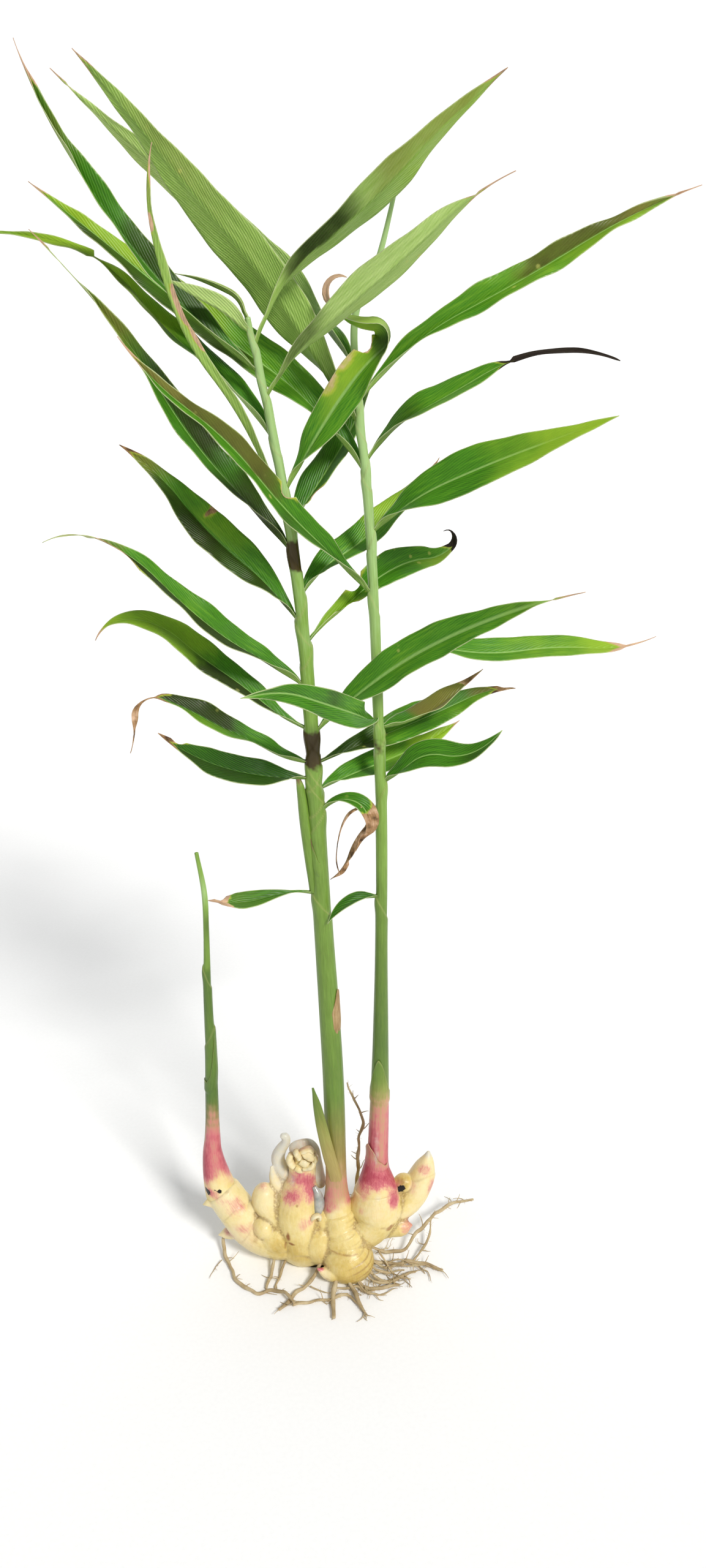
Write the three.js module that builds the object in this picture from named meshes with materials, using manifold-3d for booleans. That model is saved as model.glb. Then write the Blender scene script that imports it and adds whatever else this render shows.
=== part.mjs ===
// A freshly lifted ginger plant: the rhizome with its roots, four shoots, their sheaths and their leaves.
// Millimetres, +Z up. The origin is on the flat underside of the rhizome, below the middle shoot.
// +X is to the right, -Y is the front.
import * as THREE from "three";
import { mergeGeometries, mergeVertices } from "three/addons/utils/BufferGeometryUtils.js";
import Module from "manifold-3d";

const wasm = await Module();
wasm.setup();

// Driving dimensions
const clearance = 0.3; // gap between neighbouring pieces
const bladeThickness = 0.9; // of a leaf, along its midrib
const stalkWidth = 3; // of a leaf where it leaves the shoot
const tailWidth = 1.4; // of a dried thread at a leaf's tip
const tipWidth = 0.9;
const bladeSteps = 24;
const foldAngle = 22; // how far each half of a leaf is raised, in degrees
const sheathWall = 0.8;
const ridgeDepth = 0.03; // of the rhizome's ridges, as a share of its radius

const material = (color, roughness) =>
  new THREE.MeshStandardMaterial({ color, roughness, metalness: 0, side: THREE.DoubleSide });
const finishes = {
  skin: material(0xe3cf8c, 0.55),
  shoot: material(0x6f9a3c, 0.4),
  blade: material(0x3f8f22, 0.45),
  sheath: material(0xc4566a, 0.5),
  husk: material(0xa98a5e, 0.8),
  root: material(0xb7a585, 0.8),
};

// ---- small helpers ----

const radians = THREE.MathUtils.degToRad;

// The value at share t of an evenly spaced list.
function along(list, t) {
  const place = THREE.MathUtils.clamp(t, 0, 1) * (list.length - 1);
  const i = Math.min(Math.floor(place), list.length - 2);
  return list.length === 1 ? list[0] : THREE.MathUtils.lerp(list[i], list[i + 1], place - i);
}

// Moves each corner of a closed primitive, and merges the corners that meet.
function reshaped(primitive, place) {
  const merged = mergeVertices(
    primitive.deleteAttribute("normal").deleteAttribute("uv"),
    1e-5,
  );
  const corner = new THREE.Vector3();
  const corners = merged.getAttribute("position");
  for (let i = 0; i < corners.count; i++) {
    place(corner.fromBufferAttribute(corners, i));
    corners.setXYZ(i, corner.x, corner.y, corner.z);
  }
  return merged;
}

function solid(geometry) {
  return new wasm.Manifold(
    new wasm.Mesh({
      numProp: 3,
      vertProperties: new Float32Array(geometry.getAttribute("position").array),
      triVerts: new Uint32Array(geometry.index.array),
    }),
  );
}

function geometryOf(body) {
  const { vertProperties, triVerts } = body.getMesh();
  return new THREE.BufferGeometry()
    .setAttribute("position", new THREE.BufferAttribute(vertProperties, 3))
    .setIndex(new THREE.BufferAttribute(triVerts, 1));
}

const largest = (body) =>
  body.decompose().reduce((a, b) => (b.volume() > a.volume() ? b : a));

// ---- a round limb along a smooth path ----

// The rings of a limb: middle, the two directions across it, and radius. Points run from base to
// tip with one radius each, and each span between them is cut into stretches.
function ringsOf({ points, radii, stretches = 2, ridges = 0, squash = 1 }, grow = 0) {
  const path = new THREE.CatmullRomCurve3(points.map((p) => new THREE.Vector3(...p)));
  const steps = stretches * (points.length - 1);
  const first = path.getTangent(0);
  const across = Math.abs(first.x) < 0.8 ? new THREE.Vector3(1, 0, 0) : new THREE.Vector3(0, 1, 0);
  return Array.from({ length: steps + 1 }, (_, i) => {
    const t = i / steps;
    const forward = path.getTangent(t);
    across.addScaledVector(forward, -across.dot(forward)).normalize();
    const ridge = 1 + ridgeDepth * Math.abs(Math.sin(Math.PI * ridges * t));
    const radius = along(radii, t) * ridge + grow;
    return {
      middle: path.getPoint(t),
      across: across.clone().multiplyScalar(radius),
      deep: across.clone().cross(forward).multiplyScalar(radius * squash),
      radius,
    };
  });
}

function limb(form, grow = 0) {
  const rings = ringsOf(form, grow);
  const steps = rings.length - 1;
  const tube = new THREE.CylinderGeometry(1, 1, 1, form.sides ?? 12, steps);
  return reshaped(tube, (corner) => {
    const { middle, across, deep } = rings[Math.round((corner.y + 0.5) * steps)];
    const { x, z } = corner;
    corner.copy(middle).addScaledVector(across, x).addScaledVector(deep, z);
  });
}

// ---- rhizome ----

// Knobs: middle and half-sizes. Fingers and buds: limbs that leave them.
const knobs = [
  { middle: [-3, -1, 16], half: [30, 17, 19] }, // heart
  { middle: [9, -17, 12], half: [18, 16, 16] }, // front
  { middle: [6, -11, 22], half: [16, 14, 15] },
  { middle: [-24, -6, 14], half: [18, 15, 18] },
  { middle: [-36, -2, 27], half: [15, 13, 14] }, // between the left finger and the stump
  { middle: [-9, -4, 30], half: [12, 12, 16] }, // between the stump and the middle shoot
  { middle: [18, -3, 27], half: [15, 14, 13] }, // below the right bulb
  { middle: [29, 2, 43], half: [19.5, 17, 17] }, // right bulb
  { middle: [-4, 17, 11], half: [22, 14, 15] }, // older part at the back
];
const fingers = [
  {
    // left
    points: [[-24, -6, 15], [-43, -4, 16], [-58, 0, 22], [-71, 5, 35], [-81, 9, 49]],
    radii: [13, 13.6, 14, 14, 12.2],
    ridges: 6,
  },
  {
    // torn stump
    points: [
      [-23, -7, 14], [-24, -4, 27], [-25, 0, 41], [-24, 4, 54], [-23, 7, 66], [-22.5, 9, 78],
      [-22, 10, 86],
    ],
    radii: [15, 17, 16, 13, 9, 10.6, 6],
    ridges: 6,
  },
  {
    // bud beside the stump
    points: [[-36, -2, 28], [-44, 1, 39], [-49.5, 2, 49], [-50, 3, 57], [-50, 3, 61]],
    radii: [12, 11, 9.6, 7, 0.8],
  },
  {
    // middle
    points: [[8, -16, 14], [5, -8, 20], [2, -4, 30], [0.7, -2, 41]],
    radii: [15, 16.5, 15.4, 12.2],
    ridges: 4,
  },
  {
    // right
    points: [[10, -4, 20], [22, -3, 27], [28, 0, 36], [29, 2, 46], [28.5, 4, 57]],
    radii: [13, 14, 17, 18.5, 15.8],
    ridges: 5,
  },
  {
    // pointed, at the far right
    points: [
      [36, 3, 36], [46, 4, 40], [53, 7, 46], [58, 10, 55], [61.5, 12, 65], [64, 13, 74], [65, 14, 81],
    ],
    radii: [10, 10.4, 10.8, 10, 8, 4.2, 0.5],
    ridges: 5,
  },
  // pink bud at the lower right
  {
    points: [[24, -3, 24], [35, -2, 25], [46, -4, 28.5], [50, -4.5, 30], [54, -5, 31]],
    radii: [9, 7.6, 6.8, 5, 0.5],
  },
  // small pink bud at the front
  {
    points: [[6, -22, 11], [-3, -26, 8], [-8, -27, 9.5], [-13, -28, 14]],
    radii: [7, 5.4, 4, 0.4],
    sides: 8,
  },
  // knob under the left finger
  {
    points: [[-70, 2, 20], [-77, 3, 16.5], [-81, 3, 15], [-85, 3, 13.5]],
    radii: [7, 5, 3.4, 0.5],
    sides: 8,
  },
  // scale tips on the left finger
  { points: [[-83, 4, 44], [-91, 3, 43], [-95, 3, 41]], radii: [6, 3, 0.3], sides: 8 },
  { points: [[-62, 2, 38], [-55, 1, 44], [-52.5, 0, 47]], radii: [6, 3, 0.3], sides: 8 },
  // pale hooked root tip and spike behind the stump
  {
    points: [
      [-33, 9, 58], [-38, 10, 68], [-40.5, 11, 77], [-38, 11, 85], [-34.5, 11, 91], [-35, 11, 96],
      [-38, 10.5, 96],
    ],
    radii: [4, 5, 5, 4, 3.4, 3, 2],
    sides: 8,
  },
  {
    points: [[-35, 4, 48], [-40, 5, 56], [-43.5, 6, 63], [-45.3, 6, 74]],
    radii: [4.5, 4.4, 3.6, 0.4],
    sides: 8,
  },
];

function ellipsoid({ middle, half }, grow) {
  return reshaped(new THREE.SphereGeometry(1, 12, 8), (corner) => {
    corner.set(
      middle[0] + corner.x * (half[0] + grow),
      middle[1] + corner.z * (half[1] + grow),
      middle[2] - corner.y * (half[2] + grow),
    );
  });
}

function rhizomeBody(grow = 0) {
  const pieces = [
    ...knobs.map((knob) => ellipsoid(knob, grow)),
    ...fingers.map((finger) => limb(finger, grow)),
  ];
  const whole = pieces.map(solid).reduce((a, b) => a.add(b));
  const ground = new THREE.BoxGeometry(400, 400, 100).translate(0, 0, -50 - grow);
  return largest(whole.subtract(solid(reshaped(ground, () => {}))));
}

const rhizome = rhizomeBody();
const rhizomeZone = rhizomeBody(clearance);

// ---- shoots ----

// Axis points from base to tip with one radius each.
const shoots = {
  middle: {
    points: [
      [0.7, -2, 41.3], [0.8, -1.5, 50], [0.6, -1, 60], [0.3, 0, 74], [-1, 0, 150], [-3.5, 0, 210],
      [-7, 0, 280], [-10, 0, 350], [-13, 0, 420], [-18, 0, 485], [-24, 0, 533], [-32, 0, 580],
      [-41, 0, 625],
    ],
    radii: [11.6, 9.6, 7.8, 7.1, 7, 6.7, 5.7, 4.9, 4.1, 3.4, 2.8, 2.3, 1.5],
    sides: 10,
  },
  right: {
    points: [
      [28.5, 4, 57.4], [28.4, 5, 64], [28.2, 6, 72], [29, 6, 84], [29.8, 6, 120], [30.2, 6, 170],
      [30, 6, 250], [29.2, 6, 340], [26.5, 6, 415], [23.5, 6, 480], [19.5, 6, 540], [14, 6, 592],
      [13.5, 6, 627], [24, 6, 650], [33, 6, 684],
    ],
    radii: [15.2, 12.2, 9.3, 7.2, 6.6, 5.4, 3.8, 3.5, 3.2, 2.9, 2.5, 2.1, 1.5, 1.1, 0.6],
    sides: 10,
  },
  left: {
    points: [
      [-81.2, 9.2, 49.4], [-84.5, 12, 62], [-86.5, 14, 79], [-86, 15, 92], [-85.5, 16, 108],
      [-84.8, 17, 136], [-84.3, 18, 160], [-83.8, 18, 215], [-82.5, 18, 256], [-82.3, 18, 284],
      [-85.8, 18, 313],
    ],
    radii: [11.6, 9.4, 6.6, 5.4, 4.7, 4.3, 3.8, 2.7, 1.8, 1.9, 1.2],
    sides: 10,
  },
  young: {
    points: [
      [1, -9, 50], [-0.5, -9.6, 70], [-4, -9.6, 95], [-9, -9.4, 122], [-12, -9.2, 140], [-14.5, -9, 153],
    ],
    radii: [5.4, 4.6, 4.2, 3.6, 2.2, 0.4],
    squash: 0.5,
    sides: 8,
  },
};

const shootRings = Object.fromEntries(
  Object.entries(shoots).map(([name, form]) => [name, ringsOf(form)]),
);

// The axis and the radius of a shoot at a height.
function shootAt(name, height) {
  const rings = shootRings[name];
  const above = rings.findIndex(({ middle }) => middle.z > height);
  const upper = rings[above];
  const lower = rings[above - 1];
  const share = (height - lower.middle.z) / (upper.middle.z - lower.middle.z);
  return {
    middle: lower.middle.clone().lerp(upper.middle, share),
    radius: THREE.MathUtils.lerp(lower.radius, upper.radius, share),
  };
}

// ---- sheaths ----

// A sleeve around a shoot, from a height up to its rim. The rim rises to a tip towards an angle,
// which is counted from +X to +Y in degrees.
const sheaths = {
  sheath_middle_low: { shoot: "middle", from: 188, rim: 196, tip: 226, towards: -20 },
  sheath_middle_high: { shoot: "middle", from: 306, rim: 316, tip: 342, towards: 190 },
  sheath_right_low: { shoot: "right", from: 74, rim: 80, tip: 97, towards: 215, flare: 2.2 },
  sheath_right_high: { shoot: "right", from: 128, rim: 138, tip: 168, towards: 260 },
  sheath_left: { shoot: "left", from: 128, rim: 140, tip: 183, towards: 345 },
};

function sleeve({ shoot, from, rim, tip, towards, flare = 0 }) {
  const rows = 3;
  const inside = Array.from({ length: rows + 1 }, (_, i) => new THREE.Vector2(1, i / rows));
  const outside = inside.map(({ y }) => new THREE.Vector2(2, y)).reverse();
  const section = [...inside, ...outside, inside[0]];
  return reshaped(new THREE.LatheGeometry(section, 12), (corner) => {
    const angle = Math.atan2(corner.z, corner.x);
    const lift = (1 + Math.cos(angle - radians(towards))) / 2;
    const share = corner.y;
    const height = THREE.MathUtils.lerp(from, THREE.MathUtils.lerp(rim, tip, lift ** 3), share);
    const { middle, radius } = shootAt(shoot, height);
    const outer = Math.hypot(corner.x, corner.z) > 1.5 ? sheathWall : 0;
    const reach = radius + clearance + 0.25 + outer + flare * lift * share ** 2;
    corner.set(middle.x + Math.cos(angle) * reach, middle.y + Math.sin(angle) * reach, height);
  });
}

// ---- leaves ----

// Each leaf leaves its shoot at a height and grows by its length. rise is its slope and swing its
// turn towards the back, in degrees, evenly spaced from base to tip. roll turns its upper face to
// the front likewise. tail is the share of the length that is a dried thread, and widest and sharp
// shape the rest.
const leaves = {
  middle_left: [
    {
      height: 295,
      length: 66,
      width: 14,
      roll: [20],
      rise: [28, 0, -7, 10, 23],
      swing: [-20],
      widest: 0.7,
      sharp: 2.8,
    },
    { height: 372, length: 94, width: 20, roll: [38], rise: [9, 16, 30, 46], swing: [-16], widest: 0.45 },
    {
      height: 382,
      length: 136,
      width: 18,
      roll: [24],
      rise: [14, 34, 28, 34, 26, -88, -70],
      swing: [-8],
      tail: 0.3,
      tailWidth: 1.7,
    },
    {
      height: 403,
      length: 144,
      width: 20,
      roll: [34],
      rise: [27, 41, 34, 42, 4, -62],
      swing: [6],
      widest: 0.5,
    },
    {
      height: 430,
      length: 167,
      width: 20,
      roll: [32],
      rise: [40, 33, 43, 49, 28, -26],
      swing: [-8],
      tail: 0.14,
    },
    { height: 468, length: 133, width: 24, roll: [50], rise: [57, 38, 51, 31], swing: [10], widest: 0.48 },
    {
      height: 508,
      length: 201,
      width: 20,
      roll: [40],
      rise: [51, 48, 60, 51, 45],
      swing: [3],
      tail: 0.06,
      widest: 0.3,
      sharp: 2.3,
    },
    {
      height: 535,
      length: 181,
      width: 9,
      roll: [-17],
      rise: [68, 63, 52, 70, 82, 108],
      swing: [-24],
      widest: 0.46,
    },
    {
      height: 567,
      length: 204,
      width: 20,
      roll: [3, 3, 16, 44, 60],
      rise: [54, 33, 46, 13, 1],
      swing: [25],
      tail: 0.34,
      tailWidth: 6.5,
    },
    { height: 599, length: 186, width: 18, roll: [34], rise: [39, 44, 54, 60, 74], swing: [4], sharp: 2.2 },
    { height: 618, length: 46, width: 14, roll: [-29], rise: [47, 26, 34], swing: [-15] },
    { height: 624, length: 44, width: 5, roll: [11], rise: [95, 25, 20, 10], swing: [10] },
  ],
  middle_right: [
    { height: 351, length: 86, width: 12, roll: [25], rise: [67, -16, -126, -106, -139], swing: [-14] },
    { height: 364, length: 103, width: 20, roll: [26], rise: [14, 7, 12, 26], swing: [32] },
    {
      height: 381,
      length: 134,
      width: 24,
      roll: [38],
      rise: [13, 12, 14, 19, -7],
      swing: [30, 24, 16],
      widest: 0.58,
      sharp: 1.5,
    },
    {
      height: 402,
      length: 179,
      width: 23,
      roll: [60],
      rise: [48, 41, 32, 26, 18],
      swing: [0, -20, -30, -26],
      tail: 0.1,
      widest: 0.42,
    },
    {
      height: 455,
      length: 125,
      width: 24,
      roll: [10, 16, 40, 48, 48, 40, 20, 0],
      rise: [52, 28, 35, 26, 13, -4, 32, 205],
      swing: [32],
      widest: 0.58,
    },
    { height: 483, length: 111, width: 22, roll: [22], rise: [56, 22, 37, 32, 59], swing: [31] },
    { height: 523, length: 85, width: 22, roll: [10], rise: [46, 49, 63], swing: [38] },
    {
      height: 540,
      length: 152,
      width: 20,
      roll: [80, 92, 92, 40, 0, 0],
      rise: [65, 60, 57, 51, 38, 186, 142, -27],
      swing: [-10],
      widest: 0.45,
      sharp: 1.8,
    },
    {
      height: 587,
      length: 163,
      width: 20,
      roll: [-44],
      rise: [61, 38, 39, 19],
      swing: [-38, -20, -10],
      tail: 0.12,
      widest: 0.58,
      sharp: 2.5,
    },
    {
      height: 612,
      length: 171,
      width: 18,
      roll: [-48],
      rise: [75, 34, 44, 36],
      swing: [-14],
      widest: 0.58,
      sharp: 2.5,
    },
  ],
  right_left: [
    { height: 289, length: 37, width: 11, roll: [2], rise: [18, -5, -32, -54], swing: [-25] },
    {
      height: 405,
      length: 124,
      width: 18,
      roll: [85],
      rise: [31, 27, 27, -3],
      swing: [-68, -36],
      sharp: 1.6,
    },
    { height: 482, length: 190, width: 17, roll: [61], rise: [49, 44, 52, 37, 56], swing: [-26] },
    { height: 549, length: 223, width: 26, roll: [46], rise: [56, 32, 38, 37], swing: [22, 14, 4, 4] },
    {
      height: 573,
      length: 220,
      width: 26,
      roll: [-73],
      rise: [58, 57, 47, 50, 45],
      swing: [2, 12],
      widest: 0.4,
    },
    {
      height: 601,
      length: 219,
      width: 24,
      roll: [-66],
      rise: [46, 38, 38, 39, 43],
      swing: [46, 14, 6],
      tail: 0.05,
    },
  ],
  right_right: [
    {
      height: 367,
      length: 80,
      width: 18,
      roll: [42],
      rise: [45, 43, -8, 32, 57],
      swing: [-10],
      sharp: 1.6,
    },
    { height: 401, length: 75, width: 20, roll: [-3], rise: [-5, 23, 36], swing: [30] },
    {
      height: 442,
      length: 176,
      width: 18,
      roll: [34],
      rise: [21, -14, 3, -9, 19],
      swing: [16],
      tail: 0.12,
      widest: 0.5,
      sharp: 1.0,
    },
    { height: 516, length: 141, width: 25, roll: [60], rise: [47, 26, 22, 22], swing: [-14], widest: 0.45 },
    {
      height: 554,
      length: 145,
      width: 20,
      roll: [30, 30, 46, 66],
      rise: [62, 28, 31, 8, -21],
      swing: [-6],
      tail: 0.38,
      tailWidth: 4.2,
      widest: 0.5,
      sharp: 2.4,
    },
    {
      height: 585,
      length: 200,
      width: 17,
      roll: [54],
      rise: [53, 26, 30, 19],
      swing: [6],
      tail: 0.06,
      widest: 0.46,
    },
  ],
};

// The width of a leaf at share t of its length, as a share of its full width.
function outline(t, { tail = 0, widest = 0.38, sharp = 1.84 }) {
  const share = Math.min(t / (1 - tail), 1);
  return (share / widest) ** (sharp * widest) * ((1 - share) / (1 - widest)) ** (sharp * (1 - widest));
}

// A flat closed body: a grid two columns wide and the same grid turned over, joined along the rim.
function pillow(rows) {
  const faces = [1, -1].map((side) => {
    const face = new THREE.PlaneGeometry(2, 1, 2, rows);
    const corners = face.getAttribute("position");
    for (let i = 0; i < corners.count; i++) {
      const rim = Math.abs(corners.getX(i)) === 1 || Math.abs(corners.getY(i)) === 0.5;
      corners.setZ(i, rim ? 0 : side);
    }
    if (side < 0) face.setIndex([...face.index.array].reverse());
    return face;
  });
  return mergeGeometries(faces);
}

function blade(row, shoot, side) {
  const { height, length, width, roll, rise, swing, tail = 0 } = row;
  const tailStart = row.tailWidth ?? tailWidth;
  const { middle, radius } = shootAt(shoot, height);
  const heading = (t) => {
    const up = radians(along(rise, t));
    const back = radians(along(swing, t));
    return new THREE.Vector3(
      side * Math.cos(back) * Math.cos(up),
      Math.sin(back) * Math.cos(up),
      Math.sin(up),
    );
  };
  const outward = radians(swing[0]);
  const start = radius + clearance + bladeThickness / 2;
  const spot = middle.clone();
  spot.x += side * Math.cos(outward) * start;
  spot.y += Math.sin(outward) * start;
  const midrib = [spot.clone()];
  for (let i = 0; i < bladeSteps; i++) {
    spot.addScaledVector(heading((i + 0.5) / bladeSteps), length / bladeSteps);
    midrib.push(spot.clone());
  }

  return reshaped(pillow(bladeSteps), (corner) => {
    const step = Math.round((corner.y + 0.5) * bladeSteps);
    const t = step / bladeSteps;
    const back = radians(along(swing, t));
    const front = new THREE.Vector3(side * Math.sin(back), -Math.cos(back), 0);
    const upper = front.clone().cross(heading(t)).multiplyScalar(side);
    const turn = radians(along(roll, t)) * THREE.MathUtils.smoothstep(t, 0, 0.3);
    const face = upper.clone().multiplyScalar(Math.cos(turn)).addScaledVector(front, Math.sin(turn));
    const across = front.clone().multiplyScalar(Math.cos(turn)).addScaledVector(upper, -Math.sin(turn));
    const thread = tailStart * (1 - 0.7 * THREE.MathUtils.smoothstep(t, 1 - tail, 1));
    const slim = t > 1 - tail ? Math.max(thread, tailWidth) : stalkWidth * (1 - t);
    const most = tipWidth + 2 * (1 - t) * Math.max(length * 0.12, 24);
    const half = Math.min(Math.max(width * outline(t, row), slim, tipWidth), most) / 2;
    const fold = radians(foldAngle) * THREE.MathUtils.smoothstep(t, 0, 0.2);
    const edge = corner.x * half;
    const thick = corner.z * side * (bladeThickness / 2) * (1 - 0.4 * t);
    corner.copy(midrib[step]);
    corner.addScaledVector(across, edge * Math.cos(fold));
    corner.addScaledVector(face, thick + Math.abs(edge) * Math.sin(fold));
  });
}

// ---- roots ----

// Points from the rhizome outwards, with one radius each.
const roots = [
  {
    points: [
      [-74, 4, 18], [-81, 4, 8], [-78, -8, 2.2], [-72, -20, 1.8], [-65, -31, 1.7], [-56, -36, 1.7],
      [-45, -36, 1.7], [-37, -39, 3.5], [-32, -44, 5.4], [-28, -49, 4.6],
    ],
    radii: [1.5, 1.5, 1.5, 1.4, 1.4, 1.5, 1.5, 1.4, 1.3, 1.1],
  },
  { points: [[-42, -4, 10], [-45, -16, 4], [-46, -24, 2], [-48, -34, 1.6]], radii: [1.4, 1.5, 1.5, 1] },
  { points: [[-34, -8, 8], [-38, -18, 3.5], [-40, -26, 1.8], [-42, -33, 1.2]], radii: [1, 1, 1, 0.8] },
  {
    points: [[-10, -18, 10], [-16, -26, 5], [-24, -36, 2], [-31, -44, 1.8], [-38, -52, 1.7]],
    radii: [1.2, 1.4, 1.7, 1.7, 1.2],
  },
  {
    points: [[2, -22, 8], [0, -31, 5], [-1, -40, 3], [-1, -50, 2.2], [-1, -59, 2]],
    radii: [2, 2, 2, 1.9, 1.6],
  },
  {
    points: [[10, -26, 8], [10, -33, 4], [14, -44, 2.2], [17, -50, 1.8], [21, -57, 1.5]],
    radii: [1.5, 1.6, 1.8, 1.5, 0.9],
  },
  {
    points: [[20, -14, 12], [27, -14, 5], [38, -12, 2.6], [50, -11, 2], [62, -13, 1.9], [75, -18, 1.8]],
    radii: [1.6, 1.7, 1.7, 1.6, 1.6, 1.2],
  },
  {
    points: [
      [24, -8, 14], [36, -8, 8], [47, -4, 7], [56, 4, 9], [66, 18, 12], [73, 27, 12], [86, 37, 10],
      [102, 44, 8],
    ],
    radii: [1.3, 1.4, 1.4, 1.4, 1.5, 1.6, 1.4, 1],
  },
  {
    points: [[20, -18, 8], [28, -26, 3.5], [36, -27, 2], [46, -23, 1.7], [56, -19, 1.6]],
    radii: [1.4, 1.5, 1.5, 1.4, 0.9],
  },
  {
    points: [[12, -24, 6], [18, -33, 3], [28, -34, 1.8], [38, -33, 1.6], [44, -31, 1.5]],
    radii: [1.3, 1.4, 1.4, 1.3, 0.9],
  },
  {
    points: [
      [14, 12, 24], [15, 22, 46], [15, 22, 62], [16.5, 22, 80], [18, 22, 98], [17.5, 22, 110],
      [12, 22, 120], [8, 22, 133],
    ],
    radii: [1.6, 1.7, 1.5, 1.3, 1.2, 1.1, 1, 0.6],
  },
  { points: [[-16, 22, 10], [-22, 33, 4], [-30, 44, 1.8], [-36, 56, 1.6]], radii: [1.6, 1.6, 1.5, 1] },
  { points: [[8, 22, 10], [12, 34, 4], [13, 46, 1.8], [18, 58, 1.6]], radii: [1.6, 1.6, 1.5, 1] },
  { points: [[-48, 2, 10], [-54, 12, 5], [-60, 24, 1.8], [-62, 36, 1.6]], radii: [1.4, 1.4, 1.4, 1] },
  { points: [[30, 8, 26], [38, 16, 12], [42, 26, 3], [50, 38, 1.6]], radii: [1.4, 1.4, 1.4, 1] },
];

// ---- the plant ----

const plant = new THREE.Group();

function addPiece(name, geometry, finish) {
  const flat = geometry.toNonIndexed();
  flat.computeVertexNormals();
  const piece = new THREE.Mesh(flat, finish);
  piece.name = name;
  plant.add(piece);
}

addPiece("rhizome", geometryOf(rhizome), finishes.skin);

for (const name of ["middle", "right", "left"]) {
  const shoot = largest(solid(limb(shoots[name])).subtract(rhizomeZone));
  addPiece(`shoot_${name}`, geometryOf(shoot), finishes.shoot);
}
const youngLeaf = solid(limb(shoots.young))
  .subtract(rhizomeZone)
  .subtract(solid(limb(shoots.middle, clearance)));
addPiece("shoot_young", geometryOf(largest(youngLeaf)), finishes.shoot);

for (const [name, sheath] of Object.entries(sheaths))
  addPiece(name, sleeve(sheath), name === "sheath_middle_low" ? finishes.husk : finishes.sheath);

for (const [rank, rows] of Object.entries(leaves)) {
  const [shoot, side] = rank.split("_");
  rows.forEach((row, i) =>
    addPiece(`leaf_${rank}_${i + 1}`, blade(row, shoot, side === "left" ? -1 : 1), finishes.blade),
  );
}

roots.forEach((row, i) => {
  const tube = solid(limb({ sides: 6, ...row })).subtract(rhizomeZone);
  addPiece(`root_${i + 1}`, geometryOf(largest(tube)), finishes.root);
});

export default plant;
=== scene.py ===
import math
import random

import bpy
import numpy as np
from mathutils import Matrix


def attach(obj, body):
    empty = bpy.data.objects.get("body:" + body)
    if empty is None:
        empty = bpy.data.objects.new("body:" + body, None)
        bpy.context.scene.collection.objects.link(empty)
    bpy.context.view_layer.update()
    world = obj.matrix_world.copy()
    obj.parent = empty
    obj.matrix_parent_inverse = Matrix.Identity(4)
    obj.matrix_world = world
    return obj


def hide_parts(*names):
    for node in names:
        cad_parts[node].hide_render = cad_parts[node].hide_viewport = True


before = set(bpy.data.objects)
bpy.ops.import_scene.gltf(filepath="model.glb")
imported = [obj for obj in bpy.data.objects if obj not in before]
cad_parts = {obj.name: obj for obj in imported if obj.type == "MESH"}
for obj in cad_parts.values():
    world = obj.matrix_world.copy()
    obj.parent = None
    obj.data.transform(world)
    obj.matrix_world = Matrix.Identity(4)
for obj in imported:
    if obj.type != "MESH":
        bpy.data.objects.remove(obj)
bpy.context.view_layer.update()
mm = 0.001


# Camera, backdrop and light.
view = {
    "cameraPlace": (0.012, -0.640, 0.653),
    "pitchDown": 24,
    "lens": 27.2,
    "backdropWidth": 5.0,
    "backdropFront": -1.6,
    "backdropWall": 1.9,  # how far behind the plant the floor turns up
    "backdropHeight": 2.4,
    "backdropBend": 0.8,
    "keyStrength": 2.6,
    "keySoftness": 14,  # degrees across, seen from the plant
    "keyHeading": (48, 0, 34),  # tilt from above and turn round Z, in degrees
    "skyStrength": 0.47,
}


def makeCamera():
    bpy.ops.object.camera_add(
        location=view["cameraPlace"], rotation=(math.radians(90 - view["pitchDown"]), 0, 0)
    )
    camera = bpy.context.object
    camera.data.lens = view["lens"]
    camera.data.sensor_width = 36
    camera.data.sensor_fit = "AUTO"
    camera.data.clip_end = 20
    bpy.context.scene.camera = camera
    bpy.context.scene.view_settings.view_transform = "Standard"


def makeLight():
    bpy.ops.object.light_add(type="SUN", rotation=[math.radians(a) for a in view["keyHeading"]])
    key = bpy.context.object
    key.name = "keyLight"
    key.data.energy = view["keyStrength"]
    key.data.angle = math.radians(view["keySoftness"])
    key.data.color = (1.0, 0.985, 0.955)
    sky = bpy.data.worlds.new("softSky")
    bpy.context.scene.world = sky
    sky.use_nodes = True
    glow = sky.node_tree.nodes["Background"]
    glow.inputs["Color"].default_value = (0.96, 0.98, 1.0, 1)
    glow.inputs["Strength"].default_value = view["skyStrength"]


def say(stage):
    print("stage:", stage)


def deselectAll():
    bpy.ops.object.select_all(action="DESELECT")


def choose(piece):
    deselectAll()
    piece.select_set(True)
    bpy.context.view_layer.objects.active = piece


def cornersOf(piece):
    flat = np.empty(len(piece.data.vertices) * 3)
    piece.data.vertices.foreach_get("co", flat)
    return flat.reshape(-1, 3)


def placeCorners(piece, places):
    piece.data.vertices.foreach_set("co", np.asarray(places, float).ravel())
    piece.data.update()


def newGrid(name, cellsAcross, cellsAlong):
    deselectAll()
    bpy.ops.mesh.primitive_grid_add(x_subdivisions=cellsAcross, y_subdivisions=cellsAlong, size=2)
    piece = bpy.context.object
    piece.name = name
    piece.data.name = name
    corners = cornersOf(piece)
    return piece, corners[:, 0], (corners[:, 1] + 1) / 2


def setMask(piece, name, values):
    # one value for each corner, or one for all of them
    layer = piece.data.attributes.new(name, "FLOAT", "POINT")
    layer.data.foreach_set("value", np.full(len(piece.data.vertices), values, np.float32))


def setMasks(piece, masks):
    for name, values in masks.items():
        setMask(piece, name, values)


def setVector(piece, name, values):
    layer = piece.data.attributes.new(name, "FLOAT_VECTOR", "POINT")
    layer.data.foreach_set("vector", np.asarray(values, np.float32).ravel())


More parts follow.
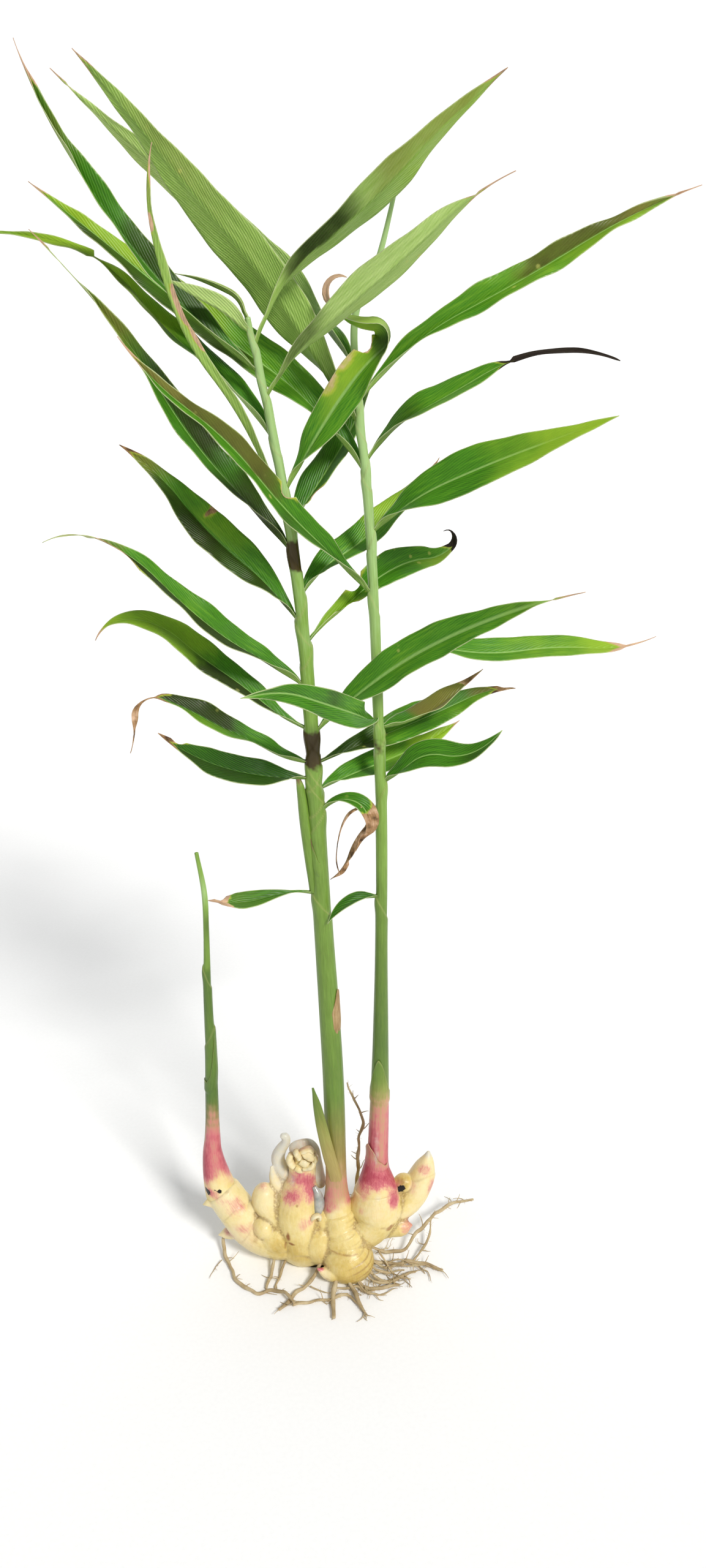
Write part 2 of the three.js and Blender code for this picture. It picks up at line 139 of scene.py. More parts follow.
def closeUp(piece):
    # joins the corners that meet and turns every face outwards
    choose(piece)
    bpy.ops.object.mode_set(mode="EDIT")
    bpy.ops.mesh.select_all(action="SELECT")
    bpy.ops.mesh.remove_doubles(threshold=1e-6)
    bpy.ops.mesh.normals_make_consistent(inside=False)
    bpy.ops.object.mode_set(mode="OBJECT")


def addModifier(piece, kind, **settings):
    choose(piece)
    bpy.ops.object.modifier_add(type=kind)
    modifier = piece.modifiers[-1]
    for setting, value in settings.items():
        setattr(modifier, setting, value)
    bpy.ops.object.modifier_apply(modifier=modifier.name)


def joinPieces(pieces):
    choose(pieces[0])
    for piece in pieces:
        piece.select_set(True)
    bpy.ops.object.join()
    return bpy.context.object


def finishPiece(piece, nodes, materials=()):
    # without materials, the piece keeps those that it has
    choose(piece)
    bpy.ops.object.shade_smooth()
    if materials:
        piece.data.materials.clear()
        for material in materials:
            piece.data.materials.append(material)
    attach(piece, "root")
    if nodes:
        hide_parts(*nodes)


def unit(vectors):
    return vectors / np.linalg.norm(vectors, axis=-1, keepdims=True)


def spread(values, shares):
    # the values of an evenly spaced list at some shares of its length
    return np.interp(shares, np.linspace(0, 1, len(values)), values)


def ease(values, low, high):
    share = np.clip((values - low) / (high - low), 0, 1)
    return share * share * (3 - 2 * share)


def ripple(seed, places, scale, waves=5):
    # smooth noise between about -1 and 1, the same on every run
    draw = random.Random(seed)
    total = np.zeros(len(places))
    for _ in range(waves):
        turn = np.array([draw.gauss(0, 1) for _ in range(places.shape[1])]) / scale
        total += np.sin(places @ turn + draw.uniform(0, 2 * math.pi))
    return total / math.sqrt(waves)


def pathAt(points, shares):
    # centripetal Catmull-Rom curve through the points
    ends = np.array(points, float)
    ends = np.vstack([2 * ends[0] - ends[1], ends, 2 * ends[-1] - ends[-2]])
    spans = len(points) - 1
    places = []
    for share in np.clip(shares, 0, 1):
        i = min(int(share * spans), spans - 1)
        w = share * spans - i
        p0, p1, p2, p3 = ends[i : i + 4]
        d0, d1, d2 = (
            max(math.sqrt(np.linalg.norm(b - a)), 1e-4) for a, b in ((p0, p1), (p1, p2), (p2, p3))
        )
        m1 = ((p1 - p0) / d0 - (p2 - p0) / (d0 + d1) + (p2 - p1) / d1) * d1
        m2 = ((p2 - p1) / d1 - (p3 - p1) / (d1 + d2) + (p3 - p2) / d2) * d1
        places.append(
            p1 + m1 * w + (3 * (p2 - p1) - 2 * m1 - m2) * w**2 + (2 * (p1 - p2) + m1 + m2) * w**3
        )
    return np.array(places)


def evenShares(points, step):
    # shares of a path that are a step apart along it, and the length of the path
    perSpan = 24
    fine = np.linspace(0, 1, perSpan * (len(points) - 1) + 1)
    runs = np.linalg.norm(np.diff(pathAt(points, fine), axis=0), axis=1)
    travelled = np.concatenate([[0], np.cumsum(runs)])
    count = max(int(travelled[-1] / step), 4)
    return np.interp(np.linspace(0, travelled[-1], count + 1), travelled, fine), travelled[-1]


def softRadii(radii, shares):
    # radii along a path, rounded off where the list turns a corner
    reach = 0.35 / (len(radii) - 1)
    return sum(spread(radii, np.clip(shares + o * reach, 0, 1)) for o in (-1, -0.5, 0, 0.5, 1)) / 5


def ringFrames(points, shares):
    # middle and the two directions across a path, carried along without twisting
    middle = pathAt(points, shares)
    forward = unit(pathAt(points, shares + 1e-3) - pathAt(points, shares - 1e-3))
    side = np.array([1.0, 0, 0]) if abs(forward[0][0]) < 0.8 else np.array([0, 1.0, 0])
    across = []
    for direction in forward:
        side = side - direction * (side @ direction)
        side = side / np.linalg.norm(side)
        across.append(side)
    across = np.array(across)
    return middle, across, np.cross(across, forward), forward


def tube(name, points, radii, step=1.2, sides=16, squash=1, shape=None):
    # a closed tube in millimetres: shape(angle, share, travelled) adds to its radius
    shares, length = evenShares(points, step)
    rows = len(shares) - 1
    piece, u, v = newGrid(name, sides, rows + 2)
    ring = np.clip(np.round(v * (rows + 2)).astype(int) - 1, 0, rows)
    end = (v < 0.5 / (rows + 2)) | (v > 1 - 0.5 / (rows + 2))
    share = shares[ring]
    along = ring / rows * length
    middle, across, deep, forward = ringFrames(points, shares)
    angle = np.pi * (u + 1)
    radius = softRadii(radii, shares)[ring]
    if shape:
        radius = radius + shape(angle, share, along)
    radius = np.where(end, 0, radius)
    right = np.cos(angle) * radius
    up = np.sin(angle) * radius
    places = middle[ring] + across[ring] * right[:, None] + deep[ring] * (up * squash)[:, None]
    places[end & (v > 0.5)] += forward[-1] * radii[-1] * 0.5  # a rounded tip
    placeCorners(piece, places * mm)
    setVector(piece, "grain", np.stack([right, up, along], 1))
    return piece, {"places": places, "angle": angle, "share": share}


def colour(code):
    # an sRGB hex code as the linear colour that a shader takes
    parts = [int(code[i : i + 2], 16) / 255 for i in (1, 3, 5)]
    return [p / 12.92 if p <= 0.04045 else ((p + 0.055) / 1.055) ** 2.4 for p in parts] + [1]


def addNode(tree, kind, inputs=None, **settings):
    node = tree.nodes.new(kind)
    for setting, value in settings.items():
        setattr(node, setting, value)
    for socket, value in (inputs or {}).items():
        if isinstance(value, bpy.types.NodeSocket):
            tree.links.new(value, node.inputs[socket])
        else:
            node.inputs[socket].default_value = value
    return node


def mixColours(tree, share, first, second, blend="MIX"):
    inputs = {0: share, 6: first, 7: second}
    return addNode(tree, "ShaderNodeMix", inputs, data_type="RGBA", blend_type=blend).outputs[2]


def maths(tree, operation, *values):
    return addNode(tree, "ShaderNodeMath", dict(enumerate(values)), operation=operation).outputs[0]


def times(tree, first, second):
    return maths(tree, "MULTIPLY", first, second)


def plus(tree, first, second):
    return maths(tree, "ADD", first, second)


def timesPlus(tree, first, second, third):
    return maths(tree, "MULTIPLY_ADD", first, second, third)


def fade(tree, value, low, high):
    # 0 below low and 1 above high, smooth in between
    inputs = {"Value": value, "From Min": low, "From Max": high}
    return addNode(tree, "ShaderNodeMapRange", inputs, interpolation_type="SMOOTHSTEP").outputs[0]


def ramp(tree, share, stops):
    node = addNode(tree, "ShaderNodeValToRGB", {"Fac": share})
    points = node.color_ramp.elements
    while len(points) < len(stops):
        points.new(0.5)
    for point, (place, code) in zip(points, stops):
        point.position = place
        point.color = colour(code)
    return node.outputs["Color"]


def mask(tree, name):
    return addNode(tree, "ShaderNodeAttribute", attribute_name=name).outputs["Fac"]


def stretched(tree, vector, factors):
    inputs = {0: vector, 1: factors}
    return addNode(tree, "ShaderNodeVectorMath", inputs, operation="MULTIPLY").outputs[0]


def noise(tree, vector, scale, detail=3.0, roughness=0.55):
    inputs = {"Vector": vector, "Scale": scale, "Detail": detail, "Roughness": roughness}
    return addNode(tree, "ShaderNodeTexNoise", inputs).outputs["Fac"]


def evenNoise(tree, vector, scale, detail):
    # noise around 0
    return maths(tree, "SUBTRACT", noise(tree, vector, scale, detail), 0.5)


def patchy(tree, name, rough, reach):
    # a mask with uneven edges, and nothing where it is 0
    raw = mask(tree, name)
    return timesPlus(tree, rough, fade(tree, raw, 0, reach), raw)


def objectPlace(tree):
    return addNode(tree, "ShaderNodeTexCoord").outputs["Object"]


def bump(tree, height, strength, distance):
    inputs = {"Height": height, "Strength": strength, "Distance": distance}
    return addNode(tree, "ShaderNodeBump", inputs).outputs["Normal"]


def newGroup(name, inputs, outputs):
    tree = bpy.data.node_groups.new(name, "ShaderNodeTree")
    for label, kind in inputs.items():
        tree.interface.new_socket(label, in_out="INPUT", socket_type="NodeSocket" + kind)
    for label, kind in outputs.items():
        tree.interface.new_socket(label, in_out="OUTPUT", socket_type="NodeSocket" + kind)
    return tree, tree.nodes.new("NodeGroupInput").outputs, tree.nodes.new("NodeGroupOutput").inputs


def useGroup(tree, group, inputs=None):
    return addNode(tree, "ShaderNodeGroup", inputs, node_tree=group).outputs


def newMaterial(name):
    material = bpy.data.materials.new(name)
    material.use_nodes = True
    tree = material.node_tree
    skin = tree.nodes["Principled BSDF"]
    return material, tree, skin, objectPlace(tree)


def dress(tree, skin, **sockets):
    # links or sets sockets of the Principled shader, named in camelCase
    for socket, value in sockets.items():
        label = "".join(" " + c if c.isupper() else c for c in socket).title().replace("Ior", "IOR")
        target = skin.inputs[label]
        if isinstance(value, bpy.types.NodeSocket):
            tree.links.new(value, target)
        else:
            target.default_value = value


def makeStreaks():
    # fine lines along a limb, from the "grain" attribute in millimetres
    outputs = {"Streak": "Float", "Fine": "Float"}
    tree, start, end = newGroup("fibreStreaks", {"Width": "Float"}, outputs)
    grain = addNode(tree, "ShaderNodeAttribute", attribute_name="grain").outputs["Vector"]
    lines = stretched(tree, grain, (1, 1, 0.07))
    scale = maths(tree, "DIVIDE", 1.0, start["Width"])
    tree.links.new(noise(tree, lines, scale, 2.0, 0.6), end["Streak"])
    finer = times(tree, scale, 3.1)
    tree.links.new(noise(tree, lines, finer, 1.0, 0.5), end["Fine"])
    return tree


def makeBlush(streaks):
    # the pink of young sheaths over a ground colour, streaked along the limb
    tree, start, end = newGroup("pinkBlush", {"Ground": "Color"}, {"Colour": "Color"})
    lines = useGroup(tree, streaks, {"Width": 1.1})
    cloud = evenNoise(tree, objectPlace(tree), 110.0, 3.0)
    uneven = times(tree, maths(tree, "SUBTRACT", lines["Streak"], 0.5), 0.5)
    uneven = timesPlus(tree, cloud, 0.5, uneven)
    raw = mask(tree, "blush")
    amount = plus(tree, raw, times(tree, uneven, fade(tree, raw, 0.0, 0.3)))
    amount = timesPlus(tree, fade(tree, lines["Fine"], 0.62, 0.35), 0.08, amount)
    stops = [(0.1, "#e2b294"), (0.35, "#d99a8a"), (0.65, "#c96f74"), (0.95, "#ab4152")]
    pinks = ramp(tree, amount, stops)
    tinted = mixColours(tree, fade(tree, amount, 0.02, 0.72), start["Ground"], pinks)
    tree.links.new(tinted, end["Colour"])
    return tree


def makeStrawSkin(streaks):
    # the cream ground of the rhizome and of the foot of the shoots
    tree, _, end = newGroup("strawSkin", {}, {"Colour": "Color"})
    lines = useGroup(tree, streaks, {"Width": 1.6})
    place = objectPlace(tree)
    straw = timesPlus(tree, evenNoise(tree, place, 55.0, 4.0), 0.9, mask(tree, "straw"))
    straw = timesPlus(tree, evenNoise(tree, place, 300.0, 3.0), 0.35, straw)
    stops = [(0, "#e8d8a8"), (0.3, "#dec984"), (0.65, "#ceb362"), (1, "#b79a4c")]
    ground = ramp(tree, fade(tree, straw, -0.1, 1.1), stops)
    light = times(tree, fade(tree, lines["Streak"], 0.4, 0.8), 0.2)
    tree.links.new(mixColours(tree, light, ground, colour("#ebdeb6")), end["Colour"])
    return tree


def makeBlemishes():
    # brown stains, whitish skin and grains of soil over a ground colour
    # the brown is also painted shade on rolled scales, the whitish also a painted highlight
    outputs = {"Colour": "Color", "Soil": "Float"}
    tree, start, end = newGroup("blemishes", {"Ground": "Color"}, outputs)
    place = objectPlace(tree)
    patch = evenNoise(tree, place, 160.0, 4.0)
    fine = evenNoise(tree, place, 900.0, 3.0)
    base = start["Ground"]
    for kind, rough, reach, low, high, code in (
        ("stain", patch, 0.3, 0.1, 0.9, "#8c5523"),
        ("pale", patch, 0.3, 0.1, 1.0, "#cfccc0"),
        ("soil", fine, 0.2, 0.3, 0.6, "#17120e"),
    ):
        amount = fade(tree, patchy(tree, kind, rough, reach), low, high)
        base = mixColours(tree, amount, base, colour(code))
    tree.links.new(base, end["Colour"])
    tree.links.new(amount, end["Soil"])
    return tree


def makeVeins():
    # midrib, side veins and margin of a blade, from its own place across and along in millimetres
    labels = ("Midrib", "Vein", "Margin", "Height", "Streak")
    tree, start, end = newGroup("leafVeins", {"Spacing": "Float"}, dict.fromkeys(labels, "Float"))
    spot = addNode(tree, "ShaderNodeAttribute", attribute_name="bladePlace").outputs["Vector"]
    parts = addNode(tree, "ShaderNodeSeparateXYZ", {0: spot}).outputs
    off = maths(tree, "ABSOLUTE", parts["X"])
    wobble = times(tree, noise(tree, spot, 0.12, 2.0), 3.0)
    run = plus(tree, timesPlus(tree, off, -4.2, parts["Y"]), wobble)
    phase = times(tree, maths(tree, "DIVIDE", run, start["Spacing"]), 2 * math.pi)
    wave = timesPlus(tree, maths(tree, "SINE", phase), 0.5, 0.5)
    vein = maths(tree, "POWER", wave, 2.0)
    ribWidth = timesPlus(tree, mask(tree, "rib"), 0.8, 0.9)
    midrib = fade(tree, maths(tree, "DIVIDE", off, ribWidth), 1.0, 0.25)
    gap = maths(tree, "SUBTRACT", parts["Z"], off)
    results = {
        "Streak": noise(tree, stretched(tree, spot, (0.9, 0.05, 0)), 1.0, 2.0),
        "Midrib": midrib,
        "Vein": vein,
        "Margin": fade(tree, gap, 0.55, 0.1),
        "Height": timesPlus(tree, midrib, -1.2, vein),
    }
    for label, value in results.items():
        tree.links.new(value, end[label])
    return tree


streakGroup = makeStreaks()
blushGroup = makeBlush(streakGroup)
strawGroup = makeStrawSkin(streakGroup)
blemishGroup = makeBlemishes()
veinGroup = makeVeins()
say("shared effects")


leafColours = {
    "upperDark": "#21500f",
    "upperMid": "#458519",
    "upperLight": "#7caf2b",
    "underDark": "#668a36",
    "underMid": "#97b956",
    "underLight": "#c0da84",
    "rib": "#a6cc76",
    "margin": "#c6d09a",
    # painted shade: the darkest tint, laid where a half or stretch of a blade lies in shade
    "dusk": "#2b3a08",
    "olive": "#7b7433",
    "lime": "#93b52c",
    "yellow": "#a9b53c",
    "dry": "#a5805a",
    "dryDark": "#4a3322",
    "dryPink": "#d8b497",
    "charred": "#2a2019",
    "freckle": "#c7c76a",
}


def makeLeafMaterial(name, face):
    material, tree, skin, place = newMaterial(name)
    under = face == "under"
    dark, mid, light = [leafColours[face + tone] for tone in ("Dark", "Mid", "Light")]
    veins = useGroup(tree, veinGroup, {"Spacing": 5.0})
    patch = noise(tree, place, 28.0, 3.0)
    cells = noise(tree, place, 900.0, 2.0)
    uneven = timesPlus(tree, patch, 0.5, timesPlus(tree, veins["Streak"], 0.9, -0.7))
    tone = plus(tree, mask(tree, "tone"), uneven)
    base = ramp(tree, tone, [(0.05, dark), (0.5, mid), (0.95, light)])
    base = mixColours(tree, times(tree, veins["Vein"], 0.22), base, colour(light))
    base = mixColours(tree, times(tree, cells, 0.16), base, colour(dark), "MULTIPLY")
    ribShare = times(tree, veins["Midrib"], 0.3 if under else 0.62)
    base = mixColours(tree, ribShare, base, colour(dark if under else leafColours["rib"]))
    rough = maths(tree, "SUBTRACT", patch, 0.5)
    # the last of these tints is painted shade on the blades
    for kind in ("lime", "olive", "dusk"):
        amount = fade(tree, patchy(tree, kind, rough, 0.4), 0.05, 1.0)
        base = mixColours(tree, amount, base, colour(leafColours[kind]))
    yellow = fade(tree, timesPlus(tree, patch, 0.6, mask(tree, "yellow")), 0.35, 1.1)
    base = mixColours(tree, yellow, base, colour(leafColours["yellow"]))
    edge = times(tree, veins["Margin"], 0.75)
    base = mixColours(tree, edge, base, colour(leafColours["margin"]))
    cellPlace = {"Vector": place, "Scale": 95.0}
    specks = addNode(tree, "ShaderNodeTexVoronoi", cellPlace).outputs["Distance"]
    speckled = maths(tree, "MAXIMUM", fade(tree, patch, 0.54, 0.66), mask(tree, "specks"))
    freckle = times(tree, fade(tree, specks, 0.16, 0.07), speckled)
    base = mixColours(tree, times(tree, freckle, 0.5), base, colour(leafColours["freckle"]))
    crisp = noise(tree, place, 160.0, 3.0)
    stops = zip((0.3, 0.5, 0.7), [leafColours[kind] for kind in ("dryDark", "dry", "dryPink")])
    husk = ramp(tree, crisp, list(stops))
    pinkTip = times(tree, mask(tree, "pinkTip"), 0.75)
    husk = mixColours(tree, pinkTip, husk, colour(leafColours["dryPink"]))
    husk = mixColours(tree, mask(tree, "charred"), husk, colour(leafColours["charred"]))
    dried = fade(tree, timesPlus(tree, crisp, 0.5, mask(tree, "dry")), 0.55, 0.85)
    relief = timesPlus(tree, cells, 0.25, veins["Height"])
    dress(
        tree,
        skin,
        baseColor=mixColours(tree, dried, base, husk),
        roughness=timesPlus(tree, dried, 0.35, 0.5 if under else 0.36),
        specularIorLevel=0.22,
        normal=bump(tree, relief, 0.5 if under else 0.35, 0.0004),
        subsurfaceWeight=0.08,
        subsurfaceRadius=(0.6, 1.0, 0.2),
        subsurfaceScale=0.0015,
    )
    return material


def makeRhizomeMaterial():
    material, tree, skin, place = newMaterial("rhizomeSkin")
    lines = useGroup(tree, streakGroup, {"Width": 1.6})
    patch = noise(tree, place, 45.0, 4.0)
    fine = noise(tree, place, 700.0, 3.0)
    ground = useGroup(tree, strawGroup)["Colour"]
    base = useGroup(tree, blushGroup, {"Ground": ground})["Colour"]
    ringLine = times(tree, mask(tree, "ring"), fade(tree, patch, 0.3, 0.6))
    base = mixColours(tree, times(tree, ringLine, 0.7), base, colour("#84592a"))
    # painted shade: brown darkening in the creases between knobs and fingers
    creaseShade = times(tree, mask(tree, "creaseShade"), fade(tree, fine, 0.2, 0.6))
    base = mixColours(tree, times(tree, creaseShade, 0.6), base, colour("#84602f"))
    marked = useGroup(tree, blemishGroup, {"Ground": base})
    relief = times(tree, plus(tree, lines["Fine"], fine), 0.5)
    relief = timesPlus(tree, noise(tree, place, 220.0, 3.0), 0.9, relief)
    dull = times(tree, marked["Soil"], 0.5)
    dress(
        tree,
        skin,
        baseColor=marked["Colour"],
        roughness=plus(tree, dull, timesPlus(tree, fine, 0.2, 0.3)),
        specularIorLevel=0.4,
        normal=bump(tree, relief, 0.5, 0.0006),
        subsurfaceWeight=0.12,
        subsurfaceRadius=(1.0, 0.55, 0.3),
        subsurfaceScale=0.002,
        coatWeight=0.14,
        coatRoughness=0.22,
    )
    return material


def makeShootMaterial():
    material, tree, skin, place = newMaterial("shootSkin")
    lines = useGroup(tree, streakGroup, {"Width": 0.9})
    patch = noise(tree, place, 40.0, 3.0)
    tint = plus(tree, mask(tree, "tone"), timesPlus(tree, patch, 0.3, -0.15))
    tint = plus(tree, tint, timesPlus(tree, lines["Streak"], 0.4, -0.2))
    greenStops = [(0, "#4c6a28"), (0.35, "#66852f"), (0.65, "#80a444"), (1, "#a9c983")]
    greens = ramp(tree, tint, greenStops)
    yellows = ramp(tree, tint, [(0.1, "#86753a"), (0.4, "#9f8d4e"), (0.8, "#b7a768")])
    ground = mixColours(tree, mask(tree, "yellow"), greens, yellows)
    base = useGroup(tree, blushGroup, {"Ground": ground})["Colour"]
    cream = useGroup(tree, strawGroup)["Colour"]
    footPink = useGroup(tree, blushGroup, {"Ground": cream})["Colour"]
    base = mixColours(tree, mask(tree, "foot"), base, footPink)
    base = mixColours(tree, times(tree, mask(tree, "rim"), 0.45), base, colour("#a9a66c"))
    base = mixColours(tree, mask(tree, "dry"), base, colour("#7d6647"))
    # painted shadow: dark brown bands where the leaves above shade the middle shoot
    base = mixColours(tree, fade(tree, mask(tree, "dusk"), 0.1, 0.5), base, colour("#46380e"))
    marked = useGroup(tree, blemishGroup, {"Ground": base})
    relief = plus(tree, lines["Streak"], times(tree, lines["Fine"], 0.4))
    dress(
        tree,
        skin,
        baseColor=marked["Colour"],
        roughness=timesPlus(tree, patch, 0.2, 0.26),
        specularIorLevel=0.4,
        normal=bump(tree, relief, 0.3, 0.0005),
        subsurfaceWeight=0.08,
        subsurfaceRadius=(0.8, 0.8, 0.3),
        subsurfaceScale=0.002,
    )
    return material


def makeSlimeMaterial():
    material, tree, skin, place = newMaterial("glassySlime")
    cloud = noise(tree, place, 150.0, 2.0)
    base = ramp(tree, cloud, [(0.35, "#8f918b"), (0.65, "#bdbdb5")])
    dress(tree, skin, baseColor=base, roughness=0.12, subsurfaceWeight=0.4, subsurfaceScale=0.003)
    return material


drySkins = {
    "driedHusk": {
        "width": 0.7,
        "patch": 120.0,
        "streaked": True,
        "stops": [(0.25, "#6f5332"), (0.5, "#a08256"), (0.75, "#cdb58a")],
        "roughness": (0.2, 0.65),
        "relief": (0.6, 0.0008),
        "others": {},
    },
    "rootSkin": {
        "width": 0.5,
        "patch": 90.0,
        "streaked": False,
        "stops": [(0.25, "#806c4c"), (0.48, "#ac9770"), (0.72, "#d0c19f")],
        "roughness": (0.15, 0.6),
        "relief": (0.5, 0.0006),
        "others": {"subsurfaceWeight": 0.08, "subsurfaceScale": 0.001},
    },
}


def makeDryMaterial(name):
    material, tree, skin, place = newMaterial(name)
    form = drySkins[name]
    streak = useGroup(tree, streakGroup, {"Width": form["width"]})["Streak"]
    patch = noise(tree, place, form["patch"], 4.0)
    first, second = (streak, patch) if form["streaked"] else (patch, streak)
    tint = timesPlus(tree, first, 0.7, times(tree, second, 0.3))
    dress(
        tree,
        skin,
        baseColor=ramp(tree, tint, form["stops"]),
        roughness=timesPlus(tree, patch, *form["roughness"]),
        normal=bump(tree, first, *form["relief"]),
        **form["others"],
    )
    return material


def makeBackdropMaterial():
    material, tree, skin, place = newMaterial("paperBackdrop")
    grain = noise(tree, place, 400.0, 2.0)
    base = ramp(tree, grain, [(0.2, "#f6f6f6"), (0.8, "#fafafa")])
    dress(tree, skin, baseColor=base, roughness=0.95, specularIorLevel=0.0)
    return material


upperLeaf = makeLeafMaterial("leafUpper", "upper")
underLeaf = makeLeafMaterial("leafUnder", "under")
rhizomeSkin = makeRhizomeMaterial()
glassySlime = makeSlimeMaterial()
shootSkin = makeShootMaterial()
driedHusk = makeDryMaterial("driedHusk")
rootSkin = makeDryMaterial("rootSkin")
backdropPaper = makeBackdropMaterial()
say("materials")


def makeBackdrop():
    piece, u, v = newGrid("backdrop", 4, 60)
    floorRun = view["backdropWall"] - view["backdropBend"] - view["backdropFront"]
    bendRun = view["backdropBend"] * math.pi / 2
    wallRun = view["backdropHeight"] - view["backdropBend"]
    run = v * (floorRun + bendRun + wallRun)
    turn = np.clip((run - floorRun) / view["backdropBend"], 0, math.pi / 2)
    depth = view["backdropFront"] + np.minimum(run, floorRun) + np.sin(turn) * view["backdropBend"]
    height = (1 - np.cos(turn)) * view["backdropBend"] + np.maximum(run - floorRun - bendRun, 0)
    placeCorners(piece, np.stack([u * view["backdropWidth"] / 2, depth, height], 1))
    choose(piece)
    bpy.ops.object.shade_smooth()
    piece.data.materials.append(backdropPaper)


makeCamera()
makeLight()
makeBackdrop()
say("camera, light and backdrop")


# Mask, place, reach in millimetres (one number, or one for each direction) and strength, on the
# rhizome and on the foot of the shoots.
skinMarks = [
    # left finger
    ("soil", (-90.5, 2, 54), (3.6, 5, 2.9), 1.0), ("soil", (-81, 0, 56.5), (2.2, 4, 1.8), 1.0),
    ("soil", (-85, 1, 57), 0.9, 0.9), ("blush", (-88, 1, 54), (8, 9, 4), 0.5),
    ("blush", (-79, -1, 51), (6, 9, 4), 0.32), ("stain", (-88, 3, 63), 5.0, 0.2),
    ("stain", (-76, 0, 54), 3.4, 0.4), ("blush", (-70, -4, 46), (9, 9, 9), 0.4),
    ("blush", (-60, -8, 26), (16, 12, 14), 0.16), ("stain", (-59, -9, 34), (3, 6, 5), 0.22),
    ("stain", (-56, -13, 27), (3, 6, 6), 0.34), ("stain", (-53, -15, 20), (3, 6, 4), 0.3),
    ("blush", (-64, -10, 33), (9, 9, 4), 0.25), ("blush", (-76, -2, 22), (8, 9, 6), 0.42),
    ("stain", (-76, -3, 20), (6, 6, 3), 0.2), ("straw", (-41, -12, 22), (10, 14, 16), 0.35),
    # bud and stump
    ("blush", (-51, 1, 61), (6, 7, 5), 0.36), ("blush", (-23, 3, 70), (12, 16, 7), 0.55),
    ("blush", (-18, -2, 64), (6, 12, 8), 0.5), ("blush", (-17, -5, 56), (5, 10, 5), 0.35),
    ("blush", (-27, -4, 61), (5, 9, 5), 0.2), ("blush", (-33, -5, 55), (6, 9, 7), 0.36),
    ("blush", (-25, -2, 60), (16, 14, 20), 0.28), ("blush", (-31, -8, 57), (7, 8, 6), 0.26),
    ("blush", (-25, 17, 68), (14, 10, 10), 0.45), ("stain", (-27, -10, 53), 1.6, 1.0),
    ("blush", (-21, -16, 42), (6, 8, 5), 0.42), ("blush", (-15, -15, 43), (4, 8, 4), 0.4),
    ("stain", (-33, -18, 32), (2, 5, 4), 0.75), ("stain", (-30, -18, 27), (3, 5, 1.4), 0.75),
    ("stain", (-35, -18, 24), (1.2, 5, 4), 0.5), ("straw", (-30, -16, 22), (16, 14, 13), 0.4),
    ("pale", (-31, -4, 68), (4, 10, 6), 0.4),
    # right bulb
    ("blush", (26, 0, 70), (19, 17, 8), 0.72), ("blush", (17, -4, 63), (8, 12, 7), 0.45),
    ("blush", (41, -4, 60), (6.5, 12, 8), 0.6), ("blush", (40, -6, 53), (5, 12, 6), 0.4),
    ("blush", (29, -8, 52), (17, 12, 14), 0.16), ("pale", (29, -9, 60), (4, 10, 5), 0.3),
    # the first mark on the next line is a painted highlight, a pale streak down the right shoot
    ("pale", (28, -1, 96), (2.6, 5, 20), 0.4), ("blush", (18, -12, 50), 3.2, 0.34),
    ("stain", (38, -14, 36), (5, 8, 3), 0.75), ("stain", (32, -16, 38), (4, 8, 2), 0.45),
    ("blush", (51, -6, 31), (7, 12, 8), 0.4),
    # far right
    ("straw", (46, 2, 62), (6, 10, 6), 0.75), ("stain", (45, 1, 63), (4, 9, 4), 0.4),
    ("soil", (46, 0, 58.5), (3.6, 8, 3.4), 0.95), ("blush", (54, 0, 58), (4, 9, 6), 0.26),
    ("blush", (62, 6, 70), (6, 9, 5), 0.4), ("blush", (67, 4, 57), (4.5, 9, 8), 0.45),
    ("pale", (64, 12, 80), 6.0, 0.9),
    # shaded stretches of the middle shoot
    ("dusk", (-11.5, 0, 391), (40, 40, 12), 1), ("dusk", (-21, 0, 504), (40, 40, 9), 0.9),
    # heart and front
    ("stain", (-11, -15, 37), (1.5, 8, 8), 0.3), ("stain", (14, -15, 41), (1.2, 8, 6), 0.45),
    ("stain", (4, -24, 24), (18, 9, 0.9), 0.5), ("straw", (10, -30, 12), (16, 14, 12), 0.4),
    ("stain", (12, -32, 4), (12, 9, 5), 0.25), ("blush", (-11, -28, 14), (4, 6, 3), 0.7),
    ("stain", (-6, -31, 7), (5, 5, 2), 0.35), ("pale", (-5, -30, 11), (5, 5, 3), 0.3),
]


def addMarks(places, masks):
    rough = ripple("marks", places, 2.2) + 0.6 * ripple("finer marks", places, 0.9)
    for kind, place, reach, strength in skinMarks:
        if kind not in masks:
            continue
        off = np.linalg.norm((places - place) / reach, axis=1)
        there = strength * (1 - ease(off + 0.09 * rough, 0.25, 1.25))
        masks[kind] = 1 - (1 - masks[kind]) * (1 - there)


